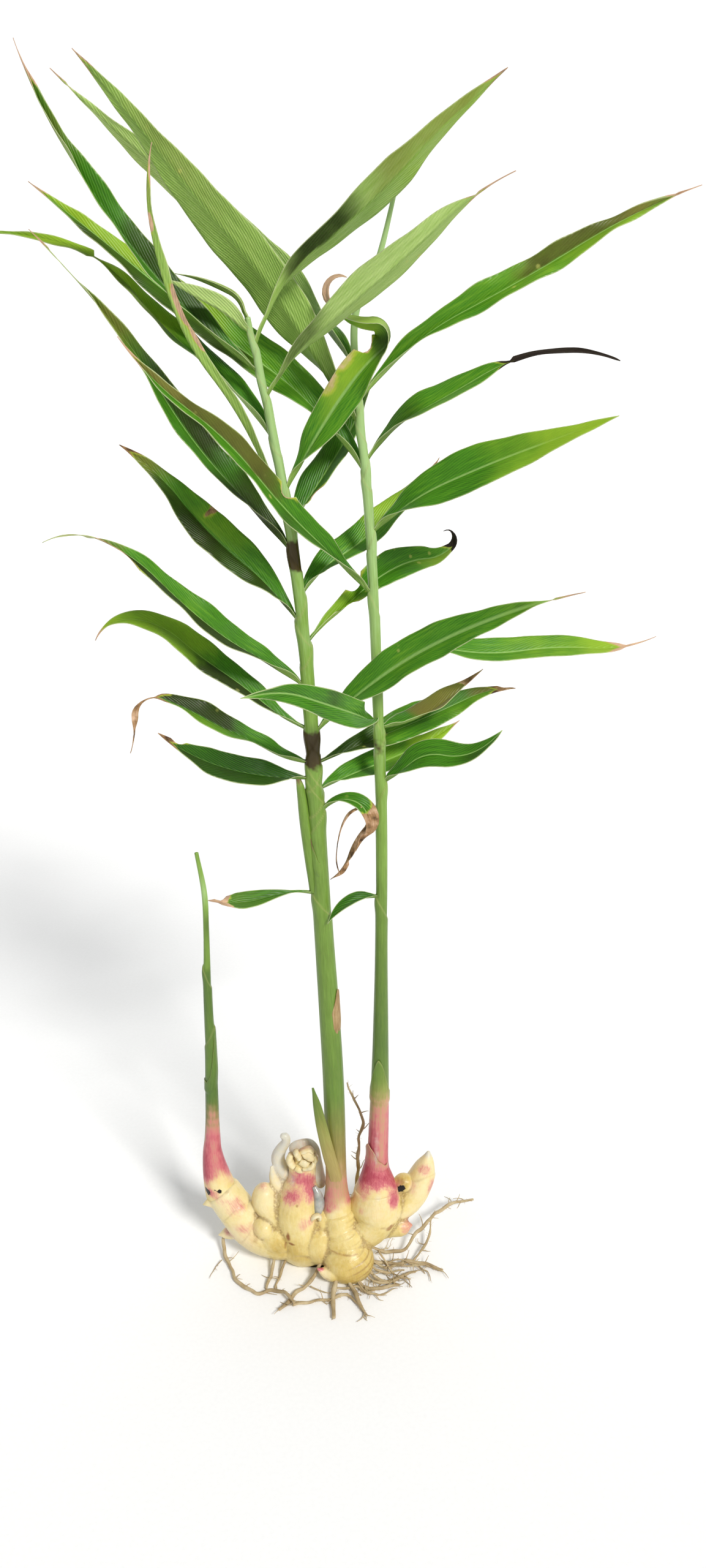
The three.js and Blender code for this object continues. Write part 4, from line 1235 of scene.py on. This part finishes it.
def makeLeaf(rank, number, row):
    shoot, sideName = rank.split("_")
    side = -1 if sideName == "left" else 1
    name = f"leaf{shoot.capitalize()}{sideName.capitalize()}{number}"
    length = row["length"]
    count = max(int(length / leafShape["step"]), 24)
    piece, u, v = newGrid(name, leafShape["cellsAcross"], count)
    u = u * side
    step = np.round(v * count).astype(int)
    midrib, across, face = leafFrame(shoot, side, row, count)
    half = leafHalf(row, np.linspace(0, 1, count + 1))[step]
    draw = random.Random(name)
    offset = draw.uniform(0, 6)
    uneven = np.sin(v * length / 12 + u * 2 + offset) * ease(v, 0.1, 0.3)
    half = half * (1 + leafShape["uneven"] * uneven)
    for place, biteSide, depth, reach in row.get("bites", []):
        cut = np.clip(1 - ((v - place) / reach) ** 2, 0, 1) ** 0.6
        half = half * np.where(u * biteSide > 0, 1 - depth * cut * np.abs(u), 1)

    # each half is an arc that leaves the midrib at its fold
    raised = np.radians(spread(row["fold"], v)) * ease(v, 0, 0.16)
    raised = raised + math.radians(leafShape["stalkFold"]) * (1 - ease(v, 0.02, 0.14))
    bend = -0.35 * raised - 0.02
    width = np.abs(u)
    lean = raised + bend * width
    reach = half * (np.sin(lean) - np.sin(raised)) / bend
    lift = half * (np.cos(raised) - np.cos(lean)) / bend
    lift = lift - leafShape["groove"] * np.exp(-((u * half / 0.9) ** 2)) * (1 - 0.6 * v)
    waves = 2 * np.pi * length / draw.uniform(*leafShape["waveLength"]) * v
    swell = np.sin(waves + np.where(u > 0, offset, offset + 2.2))
    swell = swell + 0.3 * np.sin(2.3 * waves + np.where(u > 0, 1, 2) * offset)
    swell = swell * ease(v, 0.08, 0.3) * (1 - ease(v, 0.85, 1.0))
    lift = lift + leafShape["waveHeight"] * row["wave"] * width**1.8 * swell
    sideways = across[step] * (np.sign(u) * reach)[:, None]
    places = midrib[step] + sideways + face[step] * lift[:, None]
    placeCorners(piece, places * mm)
    setVector(piece, "bladePlace", np.stack([u * half, v * length, half], 1))
    setMasks(piece, leafMasks(name, row, u, v, places))
    piece.data.materials.append(upperLeaf)
    piece.data.materials.append(underLeaf)
    thickness = leafShape["thickness"] * mm
    addModifier(piece, "SOLIDIFY", thickness=thickness, offset=0, material_offset=1)
    if "strand" in row:
        piece = joinPieces([piece, makeStrand(row["strand"])])
    finishPiece(piece, [f"leaf_{rank}_{number}"])


for rank, rankRows in leaves.items():
    for number, leafRow in enumerate(rankRows, 1):
        makeLeaf(rank, number, leafRow)
say("leaves")


# Knobs and fingers of the rhizome in millimetres, nearly as in the solid. A knob has the columns
# middle, half, rings (the direction that its rings are square to), straw, line and spacing.
# Spacing is between rings and line their strength. Straw, blush and pale are masks of the skin.
knobColumns = ("middle", "half", "rings", "straw", "line", "spacing")
knobRows = [
    ((-3, -1, 16), (30, 17, 19), (-0.2, -0.1, 1), 0.46, 0.5, 6),
    ((9, -17, 12), (18, 16, 16), (-0.23, -0.07, 1), 0.53, 1, 4.6),
    ((6, -11, 22), (16, 14, 15), (-0.23, -0.07, 1), 0.43, 1, 5.6),
    ((-24, -6, 14), (18, 15, 18), (0.5, 0.1, 1), 0.5, 0.3, 6),
    ((-36, -2, 27), (15, 13, 14), (-0.6, 0, 0.8), 0.37, 0.2, 6),
    ((-9, -4, 30), (12, 12, 16), (0.2, 0, 1), 0.46, 0.3, 6),
    ((18, -3, 27), (15, 14, 13), (0.4, 0, 0.9), 0.43, 0.3, 6),
    ((29, 2, 43), (19.5, 17, 17), (0.1, 0, 1), 0.34, 0.15, 6),
    ((-4, 17, 11), (22, 14, 15), (1, 0.1, 0.2), 0.56, 1, 6),
    ((-50, -7, 31), (8, 8, 8), (-0.7, 0, 0.7), 0.22, 0, 6),
    ((-39, -7.5, 21), (16, 11, 14), (-0.5, 0, 1), 0.37, 0, 6),
    ((-12, -12, 20), (15, 10, 17), (-0.2, 0, 1), 0.43, 0.2, 6),
    ((-21, 6, 84), (9, 6, 8), (0, 0, 1), 0.06, 0, 6),
    ((47, 7, 58), (7.5, 7, 7), (0.5, 0, 1), 0.37, 0, 6),
]
fingers = {
    "left": {
        "points": [(-24, -6, 15), (-43, -4, 16), (-58, 0, 22), (-71, 5, 35), (-81, 9, 49)],
        "radii": [13, 13.6, 14, 14, 12.2], "straw": 0.12, "spacing": 19, "line": 0.25,
    },
    "stump": {
        "points": [(-23, -7, 14), (-24, -4, 27), (-26.5, 0, 41), (-25, 4, 54), (-23, 7, 66),
            (-22.5, 9, 78), (-22, 10, 86)], "radii": [15, 17, 17.6, 14, 9, 10.6, 6],
        "straw": 0.25, "spacing": 15, "line": 0.35,
    },
    "stumpBud": {
        "points": [(-36, -2, 28), (-44, 1, 39), (-49.5, 2, 49), (-50, 3, 57), (-50, 3, 61)],
        "radii": [12, 11, 9.6, 7, 0.8], "straw": 0.15, "spacing": 15, "line": 0.15,
    },
    "middle": {
        "points": [(8, -16, 14), (5, -8, 20), (2, -4, 30), (0.7, -2, 41)],
        "radii": [15, 16.5, 15.4, 12.2], "straw": 0.36, "spacing": 5.5, "line": 0.8,
    },
    "right": {
        "points": [(10, -4, 20), (22, -3, 27), (28, 0, 36), (29, 2, 46), (28.5, 4, 57)],
        "radii": [13, 14, 17, 18.5, 15.8], "straw": 0.28, "spacing": 12, "line": 0.2,
    },
    "farRight": {
        "points": [(36, 3, 36), (46, 4, 40), (53, 7, 46), (58, 10, 55), (61.5, 12, 65),
            (64, 13, 74), (65, 14, 81)], "radii": [10, 10.4, 10.8, 10, 8, 4.2, 0.5],
        "straw": 0.14, "spacing": 19, "line": 0.3,
    },
    "lowRightBud": {
        "points": [(24, -3, 24), (35, -2, 25), (46, -4, 28.5), (50, -4.5, 30), (54, -5, 31)],
        "radii": [9, 7.6, 6.8, 5, 0.5], "straw": 0.5, "spacing": 11, "line": 0.5,
    },
    "frontBud": {
        "points": [(6, -22, 11), (-3, -26, 8), (-8, -27, 9.5), (-13, -28, 14)],
        "radii": [7, 5.4, 4, 0.4], "straw": 0.1, "blush": 0.12, "line": 0.2,
    },
    "lowLeftKnob": {
        "points": [(-70, 2, 20), (-77, 3, 16.5), (-81, 3, 15), (-85, 3, 13.5)],
        "radii": [7, 5, 3.4, 0.5], "line": 0.2,
    },
    "leftScale": {
        "points": [(-83, 4, 44), (-91, 3, 43), (-95, 3, 41)], "radii": [6, 3, 0.3], "line": 0,
    },
    "innerScale": {
        "points": [(-62, 2, 38), (-55, 1, 44), (-52.5, 0, 47)], "radii": [6, 3, 0.3], "line": 0,
    },
    "hook": {
        "points": [(-33, 9, 58), (-38, 10, 68), (-40.5, 11, 77), (-38, 11, 85), (-34.5, 11, 91),
            (-35, 11, 96), (-38, 10.5, 96)], "radii": [4, 5, 5, 4, 3.4, 3, 2], "pale": 0.85,
        "line": 0,
    },
    "spike": {
        "points": [(-35, 4, 48), (-40, 5, 56), (-43.5, 6, 63), (-45.3, 6, 74)],
        "radii": [4.5, 4.4, 3.6, 0.4], "pale": 0.6, "line": 0,
    },
}
knobs = [dict(zip(knobColumns, row)) for row in knobRows]
thinFingers = ("hook", "spike")
rhizomeShape = {
    "cell": 0.75,
    "smoothing": (0.5, 7),  # factor and rounds
    "ringHeight": 0.7,
    "lumps": (0.75, 13),  # height and size of the broad lumps
    "dents": (0.3, 5),
    "wrinkles": (0.06, 1.8),
    "hollow": (0.05, 0.32),  # depths at which the brown painted shade in a crease starts and ends
    "hollowRounds": 14,  # how wide a neighbourhood is
    "blend": 2.5,  # over how many millimetres the looks of two forms mix
    "calm": 0.75,  # how much smoother the thin fingers are
}


def makeKnob(form):
    deselectAll()
    bpy.ops.mesh.primitive_uv_sphere_add(segments=40, ring_count=24, radius=1)
    piece = bpy.context.object
    placeCorners(piece, (cornersOf(piece) * form["half"] + form["middle"]) * mm)
    return piece


def alongFinger(form, places):
    # distance to the face of a finger, way along it and place across it
    shares, length = evenShares(form["points"], 1.5)
    middle, across, deep, forward = ringFrames(form["points"], shares)
    radius = softRadii(form["radii"], shares)
    gap = np.full(len(places), 1e9)
    near = np.zeros(len(places), int)
    for i in range(len(shares)):
        distance = np.linalg.norm(places - middle[i], axis=1) - radius[i]
        closer = distance < gap
        gap[closer] = distance[closer]
        near[closer] = i
    off = places - middle[near]
    way = near / (len(shares) - 1) * length + (off * forward[near]).sum(1)
    return gap, way, np.stack([(off * across[near]).sum(1), (off * deep[near]).sum(1), way], 1)


def acrossKnob(form, places):
    off = places - form["middle"]
    gap = (np.linalg.norm(off / np.array(form["half"]), axis=1) - 1) * np.mean(form["half"])
    up = unit(np.array(form["rings"], float))
    side = unit(np.cross(up, (0.1, 1, 0)))
    way = off @ up
    return gap, way, np.stack([off @ side, off @ np.cross(side, up), way], 1)


def hollows(piece, places, normals):
    # how far the skin lies below the mean of its neighbourhood
    ends = np.empty(len(piece.data.edges) * 2, np.int32)
    piece.data.edges.foreach_get("vertices", ends)
    first, second = ends.reshape(-1, 2).T
    size = len(places)
    count = np.bincount(ends, minlength=size)

    def around(values):
        return (
            np.bincount(first, values[second], size) + np.bincount(second, values[first], size)
        ) / count

    soft = places.T
    for _ in range(rhizomeShape["hollowRounds"]):
        soft = [around(values) for values in soft]
    depth = ((np.stack(soft, 1) - places) * normals).sum(1)
    return around(around(depth))


def addRings(places, forms, found):
    # height of the skin over a smooth body, strength of the ring lines, and the grain of the skin
    gaps = np.array([gap for gap, _, _ in found])
    order = np.sort(gaps, axis=0)
    nearest = np.argmin(gaps, axis=0)
    clear = ease(order[1] - order[0], 0.2, 2.2)
    height = np.zeros(len(places))
    line = np.zeros(len(places))
    grain = np.zeros((len(places), 3))
    wander = ripple("rings", places, 9)
    fading = ease(ripple("fading", places, 12), -0.5, 0.7)
    for i, (form, (gap, way, spot)) in enumerate(zip(forms, found)):
        here = nearest == i
        turn = (way[here] + 0.1 * spot[here, 0]) / form.get("spacing", 6) + 0.2 * wander[here]
        part = turn - np.floor(turn)
        width = 0.5 / form.get("spacing", 6)
        proud = part**2 * (1 - ease(part, 1 - width, 1.0))
        height[here] = proud * min(1, form.get("line", 1) * 1.6)
        edge = np.minimum(part, 1 - part) / width
        line[here] = form.get("line", 1) * np.exp(-(edge**2))
        grain[here] = spot[here]
    height = rhizomeShape["ringHeight"] * height * clear * (0.4 + 0.6 * fading)
    for kind in ("lumps", "dents", "wrinkles"):
        amount, size = rhizomeShape[kind]
        height += amount * ripple(kind, places, size)
    return height, line * clear * fading, grain


def makeRhizome():
    pieces = [makeKnob(form) for form in knobs]
    for name, form in fingers.items():
        piece = tube(name, form["points"], form["radii"], 1.5, 28)[0]
        closeUp(piece)
        pieces.append(piece)
    body = joinPieces(pieces)
    body.name = "rhizomeBody"
    addModifier(body, "REMESH", mode="VOXEL", voxel_size=rhizomeShape["cell"] * mm)
    factor, rounds = rhizomeShape["smoothing"]
    addModifier(body, "SMOOTH", factor=factor, iterations=rounds)

    places = cornersOf(body) / mm
    normals = np.empty(len(places) * 3)
    body.data.vertices.foreach_get("normal", normals)
    normals = normals.reshape(-1, 3)
    forms = list(fingers.values()) + knobs
    found = {name: alongFinger(form, places) for name, form in fingers.items()}
    thin = np.minimum(*(found[name][0] for name in thinFingers))
    found = list(found.values()) + [acrossKnob(form, places) for form in knobs]
    height, line, grain = addRings(places, forms, found)
    height = height * (1 - rhizomeShape["calm"] * ease(thin, 3, 0))
    places = places + normals * height[:, None]
    placeCorners(body, places * mm)

    gaps = np.array([gap for gap, _, _ in found])
    weight = np.exp(-(gaps - gaps.min(0)) / rhizomeShape["blend"])
    weight /= weight.sum(0)
    masks = {}
    for kind in ("straw", "blush", "pale", "stain", "soil"):
        values = np.array([form.get(kind, 0) for form in forms], float)
        masks[kind] = (weight * values[:, None]).sum(0)
    addMarks(places, masks)
    masks["ring"] = line
    # painted shade in the creases, stronger where the skin lies deeper than its neighbourhood
    masks["creaseShade"] = ease(hollows(body, places, normals), *rhizomeShape["hollow"])
    setMasks(body, masks)
    setVector(body, "grain", grain)

    # the flat cut that it stands on
    choose(body)
    bpy.ops.object.mode_set(mode="EDIT")
    bpy.ops.mesh.select_all(action="SELECT")
    bpy.ops.mesh.bisect(plane_co=(0, 0, 0), plane_no=(0, 0, 1), clear_inner=True, use_fill=True)
    bpy.ops.mesh.select_all(action="SELECT")
    bpy.ops.mesh.normals_make_consistent(inside=False)
    bpy.ops.object.mode_set(mode="OBJECT")
    finishPiece(body, ["rhizome"], [rhizomeSkin])


makeRhizome()
say("rhizome")


# Rolled scales that show their edges: paths with half a width each, in millimetres.
rolledScales = [
    ([(-31, 1.5, 88.5), (-31.6, 1, 85), (-30.8, 0.5, 81), (-28.4, 0, 79)], 2.3),
    ([(-27.8, 0, 92), (-26.2, 0.5, 89), (-25, 0, 85.5)], 2.2),
    ([(-24.6, 3, 88), (-21.8, 3, 90.6), (-18.3, 3, 91.4), (-15.4, 3, 89.4)], 2.2),
    ([(-14.4, 3, 87.4), (-13.8, 3, 84), (-15, 2.5, 80.6)], 2.1),
    ([(-22, 1, 86.5), (-19.8, 1, 87.6), (-17.6, 1, 85.8), (-18.3, 1, 83.4)], 1.9),
    ([(-14.6, 1, 82), (-16.4, 0, 79), (-19.4, 0, 77.6), (-22.6, 0, 77.4)], 2.2),
    ([(-24.6, -0.5, 83.6), (-21.8, -1, 82), (-19, -0.5, 81)], 2.0),
    ([(-28, 0.5, 77), (-25.5, 0, 76), (-23, 0, 75.6)], 1.7),
    ([(-16.5, -12, 42), (-14.8, -12.5, 46), (-11.7, -12, 46), (-11.4, -12, 43)], 1.6),
]
# The hood behind them: its outline seen from the front, as x and z.
hoodRim = [
    (-31, 79), (-31.6, 88.5), (-27.5, 93.8), (-22, 95.4), (-16.7, 93.6), (-12.2, 88), (-10.6, 79),
    (-9, 67), (-7.8, 55), (-11, 53), (-14.5, 58), (-16, 66),
]
hoodShape = {"rimDepth": 9, "bulge": 4.5, "middle": (-19.5, 78), "wall": 1.2, "sway": 0.8}
scaleShape = {
    "step": 0.7,
    "sides": 18,
    "flat": 1.7,  # how much wider than thick
    "endSize": 0.75,
    "faces": (2.5, -2),  # depths over which a scale turns from pink, with brown painted shade at its back, to pale at its front
}


def makeRolledScale(number, points, half):
    def uneven(angle, _, travelled):
        return 0.22 * np.sin(angle * 2 + number) + 0.18 * np.sin(travelled * 0.9 + angle + number)

    radii = [half] * len(points)
    radii[0] = radii[-1] = half * scaleShape["endSize"]
    piece, facts = tube(
        f"rolledScale{number}", points, radii, scaleShape["step"], scaleShape["sides"],
        scaleShape["flat"], uneven,
    )
    share = facts["share"]
    # the brown at the back of each scale is painted shade between the scales; the brown at its end
    # is a stain
    front = ease(facts["places"][:, 1], *scaleShape["faces"])
    setMasks(piece, {
        "straw": 0.06 + 0.12 * np.sin(share * 9 + number) ** 2,
        "blush": 0.24 * (1 - front),
        "pale": 0.35 * front,
        "stain": 0.3 * (1 - front) + 0.25 * ease(share, 0.93, 1),
    })
    closeUp(piece)
    return piece


def makeHood():
    piece, u, v = newGrid("stumpHood", 60, 22)
    share = (u + 1) / 2
    rim = pathAt([(x, 0, z) for x, z in hoodRim + hoodRim[:1]], share)
    middle = np.array([hoodShape["middle"][0], 0, hoodShape["middle"][1]])
    turn = v * math.pi / 2
    places = middle + (rim - middle) * np.cos(turn)[:, None] ** 0.8
    sway = hoodShape["sway"] * np.sin(share * 23) * np.cos(turn)
    places[:, 1] = hoodShape["rimDepth"] + sway - hoodShape["bulge"] * np.sin(turn)
    placeCorners(piece, places * mm)
    setVector(piece, "grain", np.stack([u * 30, v * 3, v * 14], 1))
    blush, stain = 0.3 * ease(share, 0.6, 0.2), 0.06 * ease(v, 0.2, 0)
    setMasks(piece, {"straw": 0.15, "blush": blush, "pale": 0.7, "stain": stain})
    closeUp(piece)
    addModifier(piece, "SOLIDIFY", thickness=hoodShape["wall"] * mm, offset=0)
    return piece


scales = [makeRolledScale(i, *row) for i, row in enumerate(rolledScales, 1)]
stumpHead = joinPieces(scales + [makeHood()])
stumpHead.name = "stumpHead"
finishPiece(stumpHead, [], [rhizomeSkin])

slimeDrop = {
    "points": [(-15, -1, 62), (-12.6, -3, 57), (-11.6, -5.5, 50), (-13.2, -8, 43.5)],
    "radii": [1.6, 3, 4.2, 2.6],
}
piece = tube("slimeDrop", slimeDrop["points"], slimeDrop["radii"], 0.8, 20)[0]
closeUp(piece)
finishPiece(piece, [], [glassySlime])
say("stump head")


# Points from the rhizome outwards, as in the solids, with one radius each.
roots = [
    ([(-74, 4, 18), (-81, 4, 8), (-78, -8, 2.2), (-72, -20, 1.8), (-65, -31, 1.7),
         (-56, -36, 1.7), (-45, -36, 1.7), (-37, -39, 3.5), (-32, -44, 5.4), (-28, -49, 4.6)],
     [1.5, 1.5, 1.5, 1.4, 1.4, 1.5, 1.5, 1.4, 1.3, 1.1]),
    ([(-42, -4, 10), (-45, -16, 4), (-46, -24, 2), (-48, -34, 1.6)], [1.4, 1.5, 1.5, 1]),
    ([(-34, -8, 8), (-38, -18, 3.5), (-40, -26, 1.8), (-42, -33, 1.2)], [1, 1, 1, 0.8]),
    ([(-10, -18, 10), (-16, -26, 5), (-24, -36, 2), (-31, -44, 1.8), (-38, -52, 1.7)],
     [1.2, 1.4, 1.7, 1.7, 1.2]),
    ([(2, -22, 8), (0, -31, 5), (-1, -40, 3), (-1, -50, 2.2), (-1, -59, 2)], [2, 2, 2, 1.9, 1.6]),
    ([(10, -26, 8), (10, -33, 4), (14, -44, 2.2), (17, -50, 1.8), (21, -57, 1.5)],
     [1.5, 1.6, 1.8, 1.5, 0.9]),
    ([(20, -14, 12), (27, -14, 5), (38, -12, 2.6), (50, -11, 2), (62, -13, 1.9), (75, -18, 1.8)],
     [1.6, 1.7, 1.7, 1.6, 1.6, 1.2]),
    ([(24, -8, 14), (36, -8, 8), (47, -4, 7), (56, 4, 9), (66, 18, 12), (73, 27, 12),
         (86, 37, 10), (102, 44, 8)], [1.3, 1.4, 1.4, 1.4, 1.5, 1.6, 1.4, 1]),
    ([(20, -18, 8), (28, -26, 3.5), (36, -27, 2), (46, -23, 1.7), (56, -19, 1.6)],
     [1.4, 1.5, 1.5, 1.4, 0.9]),
    ([(12, -24, 6), (18, -33, 3), (28, -34, 1.8), (38, -33, 1.6), (44, -31, 1.5)],
     [1.3, 1.4, 1.4, 1.3, 0.9]),
    ([(14, 12, 24), (15, 22, 46), (15, 22, 62), (16.5, 22, 80), (18, 22, 98), (17.5, 22, 110),
         (12, 22, 120), (8, 22, 133)], [1.6, 1.7, 1.5, 1.3, 1.2, 1.1, 1, 0.6]),
    ([(-16, 22, 10), (-22, 33, 4), (-30, 44, 1.8), (-36, 56, 1.6)], [1.6, 1.6, 1.5, 1]),
    ([(8, 22, 10), (12, 34, 4), (13, 46, 1.8), (18, 58, 1.6)], [1.6, 1.6, 1.5, 1]),
    ([(-48, 2, 10), (-54, 12, 5), (-60, 24, 1.8), (-62, 36, 1.6)], [1.4, 1.4, 1.4, 1]),
    ([(30, 8, 26), (38, 16, 12), (42, 26, 3), (50, 38, 1.6)], [1.4, 1.4, 1.4, 1]),
]
# Thin threads that only the eye sees: the root each goes with, its radius and its path.
rootThreads = [
    (8, 1.0, [(54, -11, 2), (60, -4, 4.5), (67, 10, 8), (69.5, 22, 12)]),
    (4, 1.2,
     [(-29, -48, 2), (-17, -46, 2), (-4, -44, 2), (4, -41, 3), (9.5, -40, 2), (15, -46, 2),
         (21, -56, 2)]),
    (4, 0.45, [(-17.5, -32.5, 2.4), (-10, -36, 2), (-4, -38, 2), (2, -36, 2)]),
    (5, 1.0, [(-3, -36, 3), (6, -34, 2.5), (13, -33, 2.5), (20, -37, 2), (27, -36, 2)]),
    (7, 0.9, [(24, -14, 8), (33, -18, 5), (41, -16, 3.5), (50, -17, 4), (58, -14, 3)]),
    (9, 1.0, [(22, -16, 10), (29, -22, 6), (38, -22, 4), (48, -19, 3)]),
    (9, 0.9, [(19, -22, 8), (26, -30, 4), (35, -30, 3), (43, -27, 3.5), (52, -26, 2)]),
    (7, 0.8, [(30, -10, 12), (34, -14, 8), (37, -20, 5), (43, -24, 3)]),
    (7, 0.7, [(33, -15, 5), (44, -13, 5.5), (55, -15, 4), (66, -15, 3), (75, -19, 2.2)]),
    (10, 0.7, [(15, -30, 4), (22, -38, 2.4), (30, -39, 2), (38, -36, 2)]),
    (8, 0.3, [(28, -10, 9), (32, -7, 6), (39, 4, 4), (41, 8, 6)]),
    (8, 0.25, [(30, -8, 8), (33, -5, 6), (37, 2, 8), (40, 5, 12)]),
    (9, 0.4, [(47, -21, 2), (50, -28, 2), (51, -33, 1.6)]),
    (7, 0.4, [(59, -15, 2.4), (64, -20, 2), (66, -27, 1.6)]),
    (1, 0.3, [(-81, -9, 2.4), (-86, -16, 2), (-88, -25, 1.6)]),
]
rootShape = {
    "sides": 10,
    "step": 0.9,
    "slim": 0.82,  # of the solids' radii
    "wobble": 0.16,  # of the radius, in millimetres
    "sway": 1.1,  # how far a root wanders from its even path
    "rootletEvery": 9,  # millimetres between rootlets
    "rootletLength": (4, 13),
    "rootletRadius": 0.36,
    "hairEvery": 1.7,
    "hairLength": (1.2, 4.2),
    "hairRadius": 0.11,
    "busy": {7: 2.2, 9: 2.2, 10: 2.2},  # roots with more rootlets and hairs
    "thickThread": 0.5,  # radius above which a thread is busy
    "threadBusy": (0.4, 1.4),
}


def makeBranch(draw, place, forward, length, radius, sides):
    # a thin wandering thread that leaves a root sideways
    def wander(x, y, z):
        return np.array([draw.gauss(0, x), draw.gauss(0, y), draw.gauss(0, z)])

    heading = unit(wander(1, 1, 0.6) + forward * 0.8)
    points = [place - heading * 0.3]
    for _ in range(3):
        points.append(points[-1] + heading * length / 3)
        points[-1][2] = max(points[-1][2], radius + 0.3)
        heading = unit(heading + wander(0.35, 0.35, 0.3))
    return tube("thread", points, [radius, radius, radius * 0.7, radius * 0.35], 1.6, sides)[0]


def makeRoot(name, path, thickness, busy):
    # busy tells how many rootlets and hairs it has
    draw = random.Random(name)
    start = draw.uniform(0, 6)

    def wobble(angle, share, travelled):
        wave = np.sin(travelled / 1.9 + 3 * np.sin(angle)) + np.sin(travelled / 4.7 + start)
        return min(rootShape["wobble"], 0.2 * max(thickness)) * wave * (1 - share**4)

    shares, length = evenShares(path, 3)
    points = pathAt(path, shares)
    drift = np.stack([ripple(name + side, points, 5) for side in "xyz"], 1)
    points = points + rootShape["sway"] * drift * (np.sin(np.pi * shares) ** 0.5)[:, None]
    radii = spread(thickness, shares) * rootShape["slim"]
    points[:, 2] = np.maximum(points[:, 2], radii + 0.2)
    step, sides = rootShape["step"], rootShape["sides"]
    pieces = [tube(name, points, list(radii), step, sides, shape=wobble)[0]]
    shares, length = evenShares(points, 1)
    middle, _, _, forward = ringFrames(points, shares)
    for kind, sides in (("rootlet", 6), ("hair", 4)):
        radius = rootShape[kind + "Radius"]
        for _ in range(int(length * busy / rootShape[kind + "Every"])):
            i = draw.randrange(len(shares) // 4, len(shares) - 1)
            reach = draw.uniform(*rootShape[kind + "Length"])
            pieces.append(makeBranch(draw, middle[i], forward[i], reach, radius, sides))
    return joinPieces(pieces)


threads = {number: [] for number in range(1, len(roots) + 1)}
for number, (home, radius, path) in enumerate(rootThreads, 1):
    busy = rootShape["threadBusy"][radius > rootShape["thickThread"]]
    thread = makeRoot(f"thread{number}", path, [radius, radius, radius * 0.6], busy)
    threads[home].append(thread)
for number, (path, radii) in enumerate(roots, 1):
    root = makeRoot(f"root{number}", path, radii, rootShape["busy"].get(number, 1))
    root = joinPieces([root] + threads[number])
    closeUp(root)
    finishPiece(root, [f"root_{number}"], [rootSkin])
say("roots")
